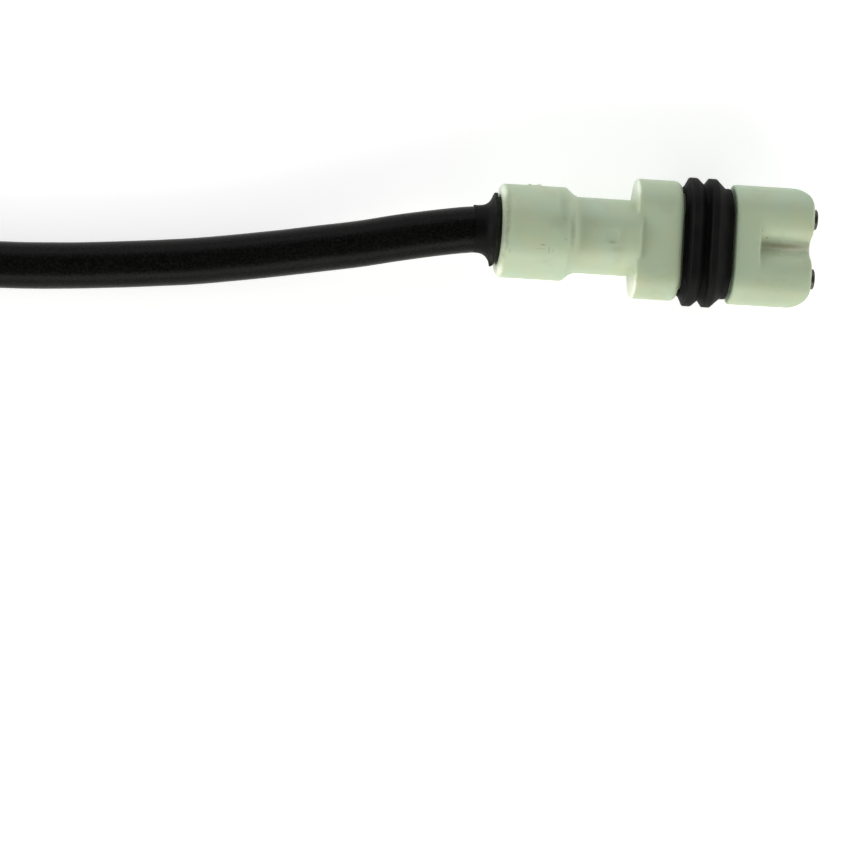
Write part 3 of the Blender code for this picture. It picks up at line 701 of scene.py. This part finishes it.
def extruded_sheath():
    """Extruded black polyurethane, matt-filled: satin, with draw lines along it and grey grains."""
    gloss = {"IOR": 1.5, "Specular_IOR_Level": 0.06}
    made = shader_of("black_polyurethane_sheath", (0.0055, 5.0), (0.00026, 2.0), **gloss)
    material, tree, shader, _, patches, grit = made
    along = add_node(tree, "ShaderNodeAttribute", attribute_name="along").outputs["Fac"]
    around = add_node(tree, "ShaderNodeAttribute", attribute_name="around").outputs["Vector"]
    run = add_node(tree, "ShaderNodeCombineXYZ", {2: along})
    shortened = add_node(tree, "ShaderNodeVectorMath", {0: run, "Scale": 0.05}, operation="SCALE")
    surface = add_node(tree, "ShaderNodeVectorMath", {0: around, 1: shortened}, operation="ADD")
    lines = add_node(tree, "ShaderNodeTexNoise", {"Vector": surface, "Scale": 1 / 0.00042, "Detail": 4.0})
    tones = (patches, "#060607", "#0C0C0C")
    tint, drawn = surfaced(shader, tones, (patches, 0.2, 0.36), (lines, 0.35, 0.00004))
    grains = add_node(tree, "ShaderNodeMapRange", {"Value": grit, "From Min": 0.42, "From Max": 0.72})
    dusty = add_node(tree, "ShaderNodeMix", {0: grains, 6: tint, 7: colour("#181916")}, data_type="RGBA")
    gritty = {"Strength": 0.8, "Distance": 0.00004, "Height": grit, "Normal": drawn}
    feed(shader, {"Base Color": dusty, "Normal": add_node(tree, "ShaderNodeBump", gritty)})
    return material


def build_lead():
    plug_lift = boot_radius - cable_radius
    head_lift = head_height - cable_radius
    route = [Vector((rear_face_x + cable_in_plug, 0.0, axis_height))]
    for back, y, lift in route_from_plug:
        route.append(Vector((rear_face_x - back, y, cable_radius + plug_lift * lift)))
    for before, y, lift in route_to_head:
        route.append(Vector((head_rear_x + before, head_side + y, cable_radius + head_lift * lift)))
    route.append(Vector((head_rear_x - cable_in_head, head_side, head_height)))
    path = smooth_path(route, path_spacing)
    sheath = extruded_sheath()
    sizes = {"Radius": cable_radius, "Sides": cable_sides, "Unevenness": 0.00003, "Lump Length": 0.004}
    mesh = rod_along("lead", path, sheath, sizes)
    for vertex in mesh.vertices:
        reach = (vertex.co - nick_place).length / nick_radius
        if reach < 1:
            vertex.co -= vertex.normal * nick_radius * nick_steepness * (1 - reach)
    lead = finished("lead_sheath", mesh, Matrix(), sheath, "cable_sheath", "cable_jacket")
    on_it = [sensor_body, wear_loop, clip, strain_relief]
    for side in ("left", "right"):
        on_it += [solids[f"{name}_{side}"] for name in ("loop_crimp", "head_core", "head_conductor")]


build_lead()


# Sealing bead
# Black polyurethane potting that was poured round the lead in the boot and set, a little lumpy.
# It climbs the lead in a concave flare, and its rim has a lip on one side and a run on the other.
plug_place = Matrix.Translation((rear_face_x, 0.0, axis_height))
bead_reach = 0.003
bead_radius = 0.0040
bead_root_radius = 0.00287
bead_bore_radius = 0.00284
bead_wall_radius = 0.0037
bead_depth = 0.0065
bead_rim = 0.0007
bead_sides = 144
flare_steps = 22
rim_steps = 8
flare_power = 3.6
rim_bulge = 0.00012
lump_rise = 0.00018
lump_set_back = 0.00016
fine_rise = 0.0001
lip_turn = 0.25
lip_spread = 0.6
lip_rise = 0.00036
run_turn = math.radians(176)
run_spread = 0.22
run_rise = 0.0002
run_set_back = 0.00022
# How far back from the rim the painted green highlight on the bead reaches, and where it is full.
rim_sheen_reach = 0.00065
rim_sheen_full = 0.00025


def potting_compound():
    """Cast black polyurethane, dulled by handling: soft ripples, with a painted greenish highlight along
    the rim.
    """
    gloss = {"IOR": 1.52, "Specular_IOR_Level": 0.06}
    made = shader_of("black_potting_compound", (0.0012, 3.0), (0.0007, 2.0), **gloss)
    material, tree, shader, place, clouds, ripples = made
    tones = (clouds, "#080909", "#10120F")
    tint = surfaced(shader, tones, (clouds, 0.4, 0.62), (ripples, 0.5, 0.0001))[0]
    along = add_node(tree, "ShaderNodeSeparateXYZ", {0: place})
    # Painted greenish highlight: the colour turns green towards the rim by the boot's face.
    reach = {"From Min": rear_face_x - rim_sheen_reach, "From Max": rear_face_x - rim_sheen_full}
    sheen_near_rim = add_node(tree, "ShaderNodeMapRange", {"Value": along, **reach})
    green = add_node(tree, "ShaderNodeMix", {0: sheen_near_rim, 6: tint, 7: colour("#343A2F")}, data_type="RGBA")
    feed(shader, {"Base Color": green})
    return material


def build_bead():
    profile = []
    for step in range(flare_steps + 1):
        share = step / flare_steps
        radius = bead_root_radius + (bead_radius - bead_root_radius) * share**flare_power
        profile.append((-bead_reach + (bead_reach - bead_rim) * share, radius))
    for step in range(1, rim_steps + 1):
        angle = math.pi * step / rim_steps
        x = -bead_rim / 2 - fit_gap / 2 - (bead_rim - fit_gap) / 2 * math.cos(angle)
        profile.append((x, bead_radius + rim_bulge * math.sin(angle)))
    profile += [(-fit_gap, bead_wall_radius), (bead_depth, bead_wall_radius)]
    profile += [(bead_depth, bead_bore_radius), (-bead_reach, bead_bore_radius)]
    rings = []
    for x, radius in profile:
        ring = []
        for step in range(bead_sides):
            turn = math.tau * step / bead_sides
            out = max(0.0, (radius - bead_root_radius) / (bead_radius - bead_root_radius))
            out = out if x <= -fit_gap else 0.0
            lumps = noise.noise(Vector((2.2 * math.cos(turn), 2.2 * math.sin(turn), 900 * x)))
            fine = noise.noise(Vector((6 * math.cos(turn), 6 * math.sin(turn), 2500 * x)))
            lip = math.exp(-(((turn - lip_turn) / lip_spread) ** 2))
            lip += math.exp(-(((turn - math.tau - lip_turn) / lip_spread) ** 2))
            run = math.exp(-((turn - run_turn) / run_spread) ** 2)
            crest = math.exp(-(((x + bead_rim / 2) / bead_rim) ** 2))
            swelling = lump_rise * lumps + fine_rise * fine + lip_rise * lip * crest + run_rise * run
            grown = radius + out**2 * swelling
            back = out**2 * (lump_set_back * lumps - run_set_back * run)
            ring.append(Vector((x + min(0.0, back), grown * math.cos(turn), grown * math.sin(turn))))
        rings.append(ring)
    mesh = creased(skin("bead", rings, joined=True), 60)
    finished("sealing_bead", mesh, plug_place, potting_compound(), "cable_sealant", "cable_seal")


build_bead()


# Socket contacts
# Two turned brass sockets with a dull tin plate, pressed into the housing from behind to their flange.
# A pin of the vehicle's socket enters the open front, and the core is crimped in the rear bore.
contact_low, contact_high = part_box("contact_left")
contact_y = (contact_low.y + contact_high.y) / 2
contact_flange_radius = (contact_high.y - contact_low.y) / 2
contact_rear_x = contact_low.x - rear_face_x
contact_front_x = contact_high.x - rear_face_x
contact_radius = 0.00125
contact_bore_radius = 0.00085
contact_flange_length = 0.0008
contact_rim_edge = 0.00015
front_bore_depth = 0.009
rear_bore_depth = 0.005
contact_sides = 64
rim_round_steps = 5


def tinned_brass():
    """Turned brass under matt tin, ringed by the tool: its warm grey is painted dark to stand in for the
    dark surroundings it reflects, and is browner in patches.
    """
    material, tree, shader, place, wear = shader_of("tinned_brass", (0.0008, 4.0), Metallic=1.0)
    worn = add_node(tree, "ShaderNodeMapRange", {"Value": wear, "From Min": 0.35, "From Max": 0.75})
    bands = {"Vector": place, "Scale": 1 / 0.0022, "Distortion": 0.6, "Detail": 2.0}
    rings = add_node(tree, "ShaderNodeTexWave", bands, bands_direction="X").outputs["Fac"]
    # Both tones are painted dark reflections, far darker than bright tin.
    surfaced(shader, (worn, "#615E57", "#2F2C27"), (wear, 0.22, 0.46), (rings, 0.25, 0.00002))
    return material


def build_contacts():
    tin = tinned_brass()
    flange_x = contact_rear_x + contact_flange_length
    profile = [
        (contact_rear_x + rear_bore_depth + contact_bore_radius / 2, 0.0),
        (contact_rear_x + rear_bore_depth, contact_bore_radius),
        (contact_rear_x, contact_bore_radius),
        (contact_rear_x, contact_flange_radius - contact_rim_edge / 2),
        (contact_rear_x + contact_rim_edge / 2, contact_flange_radius),
        (flange_x, contact_flange_radius),
        (flange_x, contact_radius),
    ]
    middle = (contact_radius + contact_bore_radius) / 2
    half_wall = (contact_radius - contact_bore_radius) / 2
    for step in range(rim_round_steps + 1):
        angle = math.pi * step / rim_round_steps
        x = contact_front_x - contact_rim_edge * (1 - math.sin(angle))
        profile.append((x, middle + half_wall * math.cos(angle)))
    bore_end = contact_front_x - front_bore_depth
    profile += [(bore_end, contact_bore_radius), (bore_end - contact_bore_radius / 2, 0.0)]
    for side, sign in (("left", 1), ("right", -1)):
        mesh = creased(turned("socket", profile, contact_sides, sign * contact_y), 50)
        finished(f"socket_contact_{side}", mesh, plug_place, tin, "contact_metal", f"contact_{side}")


build_contacts()


# Plug housing
# Boot, neck, collar and two-lobed nose are one moulding of natural polyamide, pale green-cream.
# Its rear bore takes the lead, its two channels the contacts, and its groove the seal.
nose_half_width = plug_high.y
plug_length = plug_high.x - rear_face_x
boot_length = 0.008
boot_edge = 0.0006
taper_length = 0.0016
taper_power = 1.7
taper_steps = 14
neck_half_width = 0.0046
neck_half_height = 0.00435
neck_length = 0.00685
neck_overlap = 0.0004
lobe_radius = 0.00365
collar_length = 0.00555
collar_side_edge = 0.0008
collar_face_edge = 0.00035
collar_rear_edge = 0.00015
groove_length = 0.00645
groove_half_width = 0.0058
groove_half_height = 0.0022
nose_rear_edge = 0.0003
nose_front_edge = 0.0006
nose_corner_length = 0.0024
nose_rear_bow = 0.0004
nose_corner_width = 0.0023
notch_depth = 0.00025
notch_half_width = 0.0023
valley_start = 0.00305
valley_floor_rear = 0.0021
valley_floor_front = 0.0023
rear_bore_radius = 0.004
rear_bore_end = 0.0084
chamber_half_width = 0.0037
chamber_half_height = 0.0027
chamber_overlap = 0.0004
chamber_end = 0.00105
counterbore_start = 0.00055
counterbore_end = 0.00455
channel_radius = contact_radius + fit_gap
counterbore_radius = contact_flange_radius + fit_gap
edge_steps = 6
corner_steps = 14
valley_steps = 16
housing_grain = 0.00017
housing_softness = 6
gate_mark_radius = 0.0009
gate_mark_depth = 0.00018
gate_mark_edge = 0.00026
flash_half_width = 0.0002
gate_mark_x = boot_length + taper_length + 0.00375
collar_x = boot_length + taper_length + neck_length
groove_x = collar_x + collar_length
nose_x = groove_x + groove_length


def rounded_edge(full_x, end_x, half_width, half_height, width_cut, height_cut):
    """Rings over a rounded end, from the full section to the end."""
    rings = []
    for step in range(edge_steps + 1):
        angle = math.radians(90 * step / edge_steps)
        x = full_x + (end_x - full_x) * math.sin(angle)
        drop = 1 - math.cos(angle)
        rings.append(section(x, half_width - width_cut * drop, half_height - height_cut * drop))
    return rings


def bowed(ring, share):
    """The ring with its flat sides set forwards and its round ends set back, as the nose's rear edge is."""
    for point in ring:
        point.x += share * nose_rear_bow * (0.5 - (point.y / nose_half_width) ** 2)
    return ring


def prism(name, outline, across, reach):
    """A flat outline drawn out both ways along the axis it doesn't use."""
    return skin(name, [[point + side * reach * across for point in outline] for side in (-1, 1)])


def rear_mass():
    rings = list(reversed(rounded_edge(boot_edge, 0.0, boot_radius, boot_radius, boot_edge, boot_edge)))
    rings.append(section(boot_length, boot_radius, boot_radius))
    for step in range(1, taper_steps + 1):
        share = step / taper_steps
        drop = 1 - (1 - share) ** taper_power
        half_width = boot_radius - (boot_radius - neck_half_width) * drop
        half_height = boot_radius - (boot_radius - neck_half_height) * drop
        rings.append(section(boot_length + taper_length * share, half_width, half_height))
    rings.append(section(collar_x + neck_overlap, neck_half_width, neck_half_height))
    return skin("boot_and_neck", rings)


def front_mass():
    full = (nose_half_width, lobe_radius)
    rear_x = collar_x + collar_rear_edge
    rings = list(reversed(rounded_edge(rear_x, collar_x, *full, collar_rear_edge, collar_rear_edge)))
    side_x = groove_x - collar_side_edge
    rings += rounded_edge(side_x, groove_x, *full, collar_side_edge, collar_face_edge)
    rings += [section(x, groove_half_width, groove_half_height) for x in (groove_x, nose_x)]
    rear_x = nose_x + nose_rear_edge
    rear_edge = rounded_edge(rear_x, nose_x, *full, nose_rear_edge, nose_rear_edge)
    rings += [bowed(ring, 1.0) for ring in reversed(rear_edge)]
    front_x = plug_length - nose_front_edge
    end_cut = 2 * nose_front_edge
    rings += rounded_edge(front_x, plug_length + fit_gap, *full, end_cut, end_cut)
    return skin("collar_and_nose", rings)


def nose_trim():
    outline = []
    for step in range(corner_steps + 1):
        angle = math.radians(90 * step / corner_steps)
        x = plug_length - nose_corner_length * (1 - math.sin(angle))
        outline.append((x, nose_half_width - nose_corner_width * (1 - math.cos(angle))))
    for step in range(corner_steps + 1):
        share = step / corner_steps
        x = plug_length - notch_depth * (1 - math.cos(math.pi * share)) / 2
        outline.append((x, notch_half_width * (1 - share)))
    outline += [(x, -y) for x, y in reversed(outline[:-1])]
    clear = nose_half_width
    side_x = plug_length - nose_corner_length
    outline = [
        (side_x, nose_half_width + clear),
        *outline,
        (side_x, -nose_half_width - clear),
        (plug_length + clear, -nose_half_width - clear),
        (plug_length + clear, nose_half_width + clear),
    ]
    flat = [Vector((x, y, 0.0)) for x, y in outline]
    return prism("nose_trim", flat, Vector((0, 0, 1)), 2 * lobe_radius)


def valley_outline(x, floor_height, sign):
    """The space between the two lobes' round backs, down to a floor."""
    floor_angle = math.pi - math.asin(floor_height / lobe_radius)
    side = []
    for step in range(1, valley_steps + 1):
        angle = math.pi / 2 + (floor_angle - math.pi / 2) * step / valley_steps
        side.append((contact_y + lobe_radius * math.cos(angle), lobe_radius * math.sin(angle)))
    outline = [(side[0][0], 2 * lobe_radius), *side]
    outline += [(-y, z) for y, z in reversed(outline)]
    return [Vector((x, y, sign * z)) for y, z in outline]


def valleys():
    """Their floors rise towards the nose's end."""
    start_x = nose_x + valley_start
    cutters = []
    for sign in (1, -1):
        rear = valley_outline(start_x, valley_floor_rear, sign)
        front = valley_outline(plug_length + fit_gap, valley_floor_front, sign)
        cutters.append(skin("valley", [rear, front]))
    return cutters


def bores():
    rear = [(-boot_length, 0.0), (-boot_length, rear_bore_radius), (rear_bore_end, rear_bore_radius)]
    cutters = [turned("rear_bore", [*rear, (rear_bore_end, 0.0)], 4 * quarter_steps)]
    chamber_ends = (rear_bore_end - chamber_overlap, collar_x + chamber_end)
    chamber = [section(x, chamber_half_width, chamber_half_height) for x in chamber_ends]
    cutters.append(skin("chamber", chamber))
    for sign in (1, -1):
        channel = [
            (collar_x + counterbore_start, 0.0),
            (collar_x + counterbore_start, counterbore_radius),
            (collar_x + counterbore_end, counterbore_radius),
            (collar_x + counterbore_end, channel_radius),
            (plug_length + lobe_radius, channel_radius),
            (plug_length + lobe_radius, 0.0),
        ]
        cutters.append(turned("channel", channel, 3 * quarter_steps, sign * contact_y))
    return cutters


def press_gate_mark(mesh):
    """A shallow disc, deeper on the side where the sprue was twisted off."""
    for vertex in mesh.vertices:
        place = vertex.co
        if place.z > 0.8 * neck_half_height and abs(place.x - gate_mark_x) < 2 * gate_mark_radius:
            radius = math.hypot(place.x - gate_mark_x, place.y)
            inside = min(1.0, max(0.0, (gate_mark_radius - radius) / gate_mark_edge))
            depth = gate_mark_depth * (0.6 - 0.4 * place.y / gate_mark_radius)
            vertex.co.z -= depth * inside * inside * (3 - 2 * inside)


def raise_flash(mesh):
    """Bits of flash that the mould's joint left on the boot's upper side."""
    bits = ((0.0036, 0.0002, 0.00022), (0.0044, 0.0005, 0.0001), (0.0048, 0.0002, 0.00018))
    for vertex in mesh.vertices:
        place = vertex.co
        if abs(place.z) < 2 * flash_half_width and place.y > 0.9 * boot_radius:
            for x, reach, rise in bits:
                beside = ((place.x - x) / reach) ** 2
                vertex.co.y += rise * math.exp(-beside - (place.z / flash_half_width) ** 2)


def handling_marks_and_painted_light(material):
    """Marks of handling and painted light: soft ovals of dirt, painted shade and painted highlights, placed
    in mm from the boot's rear face, along and across.
    """
    marks = [
        (4.86, -1.67, 0.42, 0.09, 0.5, "#5A624A"),  # scratch along the boot
        (4.6, -2.15, 0.75, 0.09, 0.2, "#5A624A"),  # fainter scratch beside it
        (5.65, -2.26, 0.11, 0.45, 0.3, "#5A624A"),  # scratch across
        (6.1, -2.3, 0.12, 0.3, 0.18, "#5A624A"),  # second scratch across
        (0.98, -2.64, 0.12, 0.35, 0.35, "#5F7450"),  # speck of mould release
        (7.27, 1.6, 0.4, 0.3, 0.22, "#8A6A58"),  # brown smudge
        (7.55, -0.83, 0.35, 0.2, 0.22, "#7A6E4E"),  # lower brown smudge
        (0.6, 3.2, 0.4, 2.6, 0.26, "#77855A"),  # grey of fingers at the rear
        (0.1, 0.2, 0.7, 4.4, 0.7, "#747667"),  # darker band over the middle of the boot's rear edge, beside the sealing compound
        (0.1, 4.8, 0.5, 1.2, 0.8, "#F2FAEC"),  # painted highlight on the boot's rear edge beyond it, on the far side
        (0.1, -5.2, 0.5, 1.2, 0.8, "#F6FAE6"),  # and on the near side
        (7.2, 3.2, 0.6, 2.3, 0.22, "#7F8A62"),  # grey of fingers by the taper
        (6.6, 1.2, 1.3, 1.0, 0.14, "#6F7650"),  # cloud on the boot
        (8.4, 0.3, 0.5, 2.3, 0.42, "#5E6A45"),  # painted shade where the boot's edge turns down into the taper
        (13.4, -0.82, 0.62, 0.2, 0.2, "#55603F"),  # painted shade on the gate mark's lower wall, a dark crescent
        (13.9, -1.6, 1.0, 0.5, 0.2, "#8E8460"),  # brown cloud under it
        (17.2, -0.1, 0.5, 3.3, 0.08, "#66714C"),  # painted shade on the collar just ahead of the neck's end
        (16.5, 6.4, 0.3, 1.9, 1.0, "#F4FCEE"),  # painted light on the collar's rear face, on the far side
        (16.5, -6.4, 0.3, 2.1, 1.0, "#F8FCEC"),  # and on the near side
        (19.5, -5.6, 3.2, 2.0, 0.16, "#7F8A68"),  # painted shade over the lower side of the collar
        (33.5, -5.6, 4.8, 2.0, 0.14, "#7F8A68"),  # painted shade over the lower side of the nose
        (35.2, -0.1, 3.6, 0.8, 0.85, "#F0F2DA"),  # pale floor of the valley, where light comes through
        (34.5, 0.1, 3.3, 0.36, 0.55, "#827F42"),  # dark olive line in the valley's crease: painted crease shade, and old grease
        (32.4, 0.95, 0.1, 0.1, 0.9, "#33342A"),  # black speck
    ]
    tree = material.node_tree
    shader = tree.nodes["Principled BSDF"]
    place = add_node(tree, "ShaderNodeTexCoord").outputs["Object"]
    fray = add_node(tree, "ShaderNodeTexNoise", {"Vector": place, "Scale": 1 / 0.0006, "Detail": 3.0})
    frayed = add_node(tree, "ShaderNodeMath", {0: fray, 1: 0.9}, operation="MULTIPLY")
    clean = shader.inputs["Base Color"].links[0].from_socket
    for along, across, half_length, half_width, strength, tone in marks:
        middle = (rear_face_x + along / 1000, across / 1000, axis_height + lobe_radius)
        reach = (half_length / 1000, half_width / 1000, 4 * lobe_radius)
        oval = {
            "Vector": place,
            "Location": tuple(-at / half for at, half in zip(middle, reach)),
            "Scale": tuple(1 / half for half in reach),
        }
        near = add_node(tree, "ShaderNodeMapping", oval)
        away = add_node(tree, "ShaderNodeVectorMath", {0: near}, operation="LENGTH")
        ragged = add_node(tree, "ShaderNodeMath", {0: away, 1: frayed}, operation="ADD")
        fading = {"Value": ragged, "From Min": 0.6, "From Max": 1.7, "To Min": strength, "To Max": 0.0}
        share = add_node(tree, "ShaderNodeMapRange", fading, interpolation_type="SMOOTHSTEP")
        clean = add_node(tree, "ShaderNodeMix", {0: share, 6: clean, 7: colour(tone)}, data_type="RGBA")
    feed(shader, {"Base Color": clean})


def build_housing():
    hollows = [nose_trim(), *valleys(), *bores()]
    mesh = moulded("housing", [rear_mass(), front_mass()], hollows, housing_grain, housing_softness)
    press_gate_mark(mesh)
    raise_flash(mesh)
    material = natural_polyamide("natural_polyamide_66", "#B9CBB1", "#BFC9AA", axis_height)
    # Handling marks, with painted shade and painted highlights, in the housing's colour.
    handling_marks_and_painted_light(material)
    finished("plug_housing_moulding", mesh, plug_place, material, "housing_plastic", "connector_housing")


build_housing()


# Interface seal
# A moulded ring of black silicone rubber, stretched over the nose into the groove behind it.
# Its two flat-topped fins are steep towards the lead, slope towards the nose, and close the socket's mouth.
seal_low, seal_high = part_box("interface_seal")
fin_half_width = seal_high.y
fin_half_height = (seal_high.z - seal_low.z) / 2
seal_half_width = 0.0067
seal_half_height = 0.0031
fin_start = 0.0004
fin_pitch = 0.00236
fin_side_rise = 0.0006
fin_flat_rise = 0.00015
fin_tip = 0.00085
fin_slope = 0.00125
fin_round = 0.00016
sunk_edge = -0.3
seal_round_steps = 5


def softened(points, radius, steps):
    """The same line of points with its corners rounded."""
    line = [points[0]]
    for before, corner, after in zip(points, points[1:], points[2:]):
        reach_in = min(radius, (corner - before).length * 0.48)
        reach_out = min(radius, (after - corner).length * 0.48)
        start = corner + (before - corner).normalized() * reach_in
        end = corner + (after - corner).normalized() * reach_out
        for step in range(steps + 1):
            t = step / steps
            line.append(start * (1 - t) ** 2 + corner * 2 * t * (1 - t) + end * t**2)
    line.append(points[-1])
    return line


def build_seal():
    rear_x = groove_x + fit_gap
    front_x = nose_x - fit_gap
    foot = 0.0
    line = [(rear_x, sunk_edge, sunk_edge), (rear_x, 0.0, 0.0)]
    for fin in range(2):
        foot_x = groove_x + fin_start + fin * fin_pitch
        crest_x = foot_x + fin_side_rise
        climbed = 1 - (1 - foot) * fin_flat_rise / fin_side_rise
        line += [(foot_x, foot, foot), (crest_x - fin_flat_rise, climbed, foot)]
        line += [(crest_x, 1.0, 1.0), (crest_x + fin_tip, 1.0, 1.0)]
        foot = max(0.0, 1 - (fin_pitch - fin_side_rise - fin_tip) / fin_slope)
    line += [(crest_x + fin_tip + fin_slope, 0.0, 0.0), (front_x, 0.0, 0.0)]
    line.append((front_x, sunk_edge, sunk_edge))
    side_depth = fin_half_width - seal_half_width
    flat_depth = fin_half_height - seal_half_height
    sized = [Vector((x, side * side_depth, flat * flat_depth)) for x, side, flat in line]
    last_crest = crest_x + fin_tip
    rings = []
    for x, wider, higher in softened(sized, fin_round, seal_round_steps):
        ring = section(x, seal_half_width + wider, seal_half_height + higher)
        rings.append(bowed(ring, min(1.0, max(0.0, (x - last_crest) / (front_x - last_crest)))))
    inner = (groove_half_width + fit_gap, groove_half_height + fit_gap)
    rings += [bowed(section(front_x, *inner), 1.0), section(rear_x, *inner)]
    mesh = creased(skin("seal", rings, joined=True), 50)
    rubber = moulded_rubber("black_silicone_rubber", "#0F0F10", "#1A1A19", 0.58, 0.00016)
    finished("finned_seal", mesh, plug_place, rubber, "seal_rubber", "interface_seal")


build_seal()


# Table and light
# A plain white table and four soft boxes: the brightest on the near side, a low one behind the lead, and
# weaker ones on the far side and past the nose. The room is a light tent, dim overhead where the lens is.
table_reach = 3.0
table_lift = 0.55
box_reach = 0.42
box_height = 0.2


def white_table():
    """Matt white laminate. To the lens, and in gloss and glass, it is lifted to the photo's paper white."""
    made = shader_of("white_laminate", (0.02, 3.0), Roughness=0.8, Specular_IOR_Level=0.1)
    material, tree, shader, _, fibre = made
    tones = {0: fibre, 6: colour("#EFEFEF"), 7: colour("#F2F2F2")}
    feed(shader, {"Base Color": add_node(tree, "ShaderNodeMix", tones, data_type="RGBA")})
    ray = add_node(tree, "ShaderNodeLightPath").outputs
    seen = ray["Is Camera Ray"]
    for other in ("Is Glossy Ray", "Is Transmission Ray"):
        seen = add_node(tree, "ShaderNodeMath", {0: seen, 1: ray[other]}, operation="MAXIMUM")
    lift = add_node(tree, "ShaderNodeMath", {0: seen, 1: table_lift}, operation="MULTIPLY")
    glow = add_node(tree, "ShaderNodeEmission", {"Strength": lift})
    both = add_node(tree, "ShaderNodeAddShader", {0: shader, 1: glow})
    feed(tree.nodes["Material Output"], {"Surface": both})
    return material


def build_table():
    corners = ((-1, -1), (1, -1), (1, 1), (-1, 1))
    mesh = bpy.data.meshes.new("white_table")
    mesh.from_pydata([(table_reach * x, table_reach * y, 0.0) for x, y in corners], [], [(0, 1, 2, 3)])
    mesh.materials.append(white_table())
    table = placed("white_table", mesh)


def soft_box(name, place, width, height, power, tint):
    """An area lamp that faces the plug."""
    lamp = bpy.data.lights.new(name, "AREA")
    lamp.shape = "RECTANGLE"
    lamp.size = width
    lamp.size_y = height
    lamp.energy = power
    lamp.color = colour(tint)[:3]
    box = placed(name, lamp)
    box.location = place
    box.rotation_euler = (-Vector(place)).to_track_quat("-Z", "Y").to_euler()


def build_room():
    world = bpy.data.worlds.new("light_tent")
    world.use_nodes = True
    tree = world.node_tree
    ray = add_node(tree, "ShaderNodeTexCoord").outputs["Generated"]
    height = add_node(tree, "ShaderNodeSeparateXYZ", {0: ray}).outputs["Z"]
    dimming = {"Value": height, "From Min": 0.25, "From Max": 0.8, "To Min": 1.0, "To Max": 0.04}
    level = add_node(tree, "ShaderNodeMapRange", dimming, interpolation_type="SMOOTHSTEP")
    feed(tree.nodes["Background"], {"Strength": level, "Color": (1.0, 1.0, 1.0, 1.0)})
    bpy.context.scene.world = world
    soft_box("far_box", (0.0, box_reach, box_height), 0.8, 0.22, 0.6, "#F4FFF8")
    soft_box("near_box", (0.0, -box_reach, box_height), 0.8, 0.22, 1.5, "#FFFFF2")
    soft_box("lead_box", (-0.5, 0.0, 0.16), 0.5, 0.2, 1.1, "#FFFFFF")
    soft_box("nose_box", (0.5, 0.0, box_height), 0.4, 0.2, 0.3, "#FFFFFF")


build_table()
build_room()


# Camera
# It looks down on the table, leaning 6.5 degrees towards the lead and rolled 3.2 degrees.
# The photo shows 0.12 mm to the pixel, with the boot's rear face at pixel (498, 230) of 850.
picture_size = 850
pixel_pitch = 0.00012
rear_face_pixel = (498.0, 229.8)
roll = math.radians(3.2)
lean = math.radians(6.5)
camera_distance = 0.5
sensor_width = 36.0


def build_camera():
    right = picture_size / 2 - rear_face_pixel[0]
    down = picture_size / 2 - rear_face_pixel[1]
    x = rear_face_x + pixel_pitch * (right * math.cos(roll) + down * math.sin(roll))
    y = pixel_pitch * (right * math.sin(roll) - down * math.cos(roll))
    target = Vector((x, y, axis_height))
    forward = Vector((math.sin(lean), 0.0, -math.cos(lean)))
    level = Vector((math.cos(roll), math.sin(roll), 0.0))
    side = (level - forward * level.dot(forward)).normalized()
    up = side.cross(forward)
    lens = bpy.data.cameras.new("camera")
    lens.sensor_width = sensor_width
    lens.lens = sensor_width * camera_distance / (picture_size * pixel_pitch)
    lens.clip_start = 0.01
    camera = placed("camera", lens)
    turn = Matrix((side, up, -forward)).transposed().to_4x4()
    camera.matrix_world = Matrix.Translation(target - forward * camera_distance) @ turn
    bpy.context.scene.camera = camera


build_camera()
bpy.context.scene.view_settings.view_transform = "Standard"
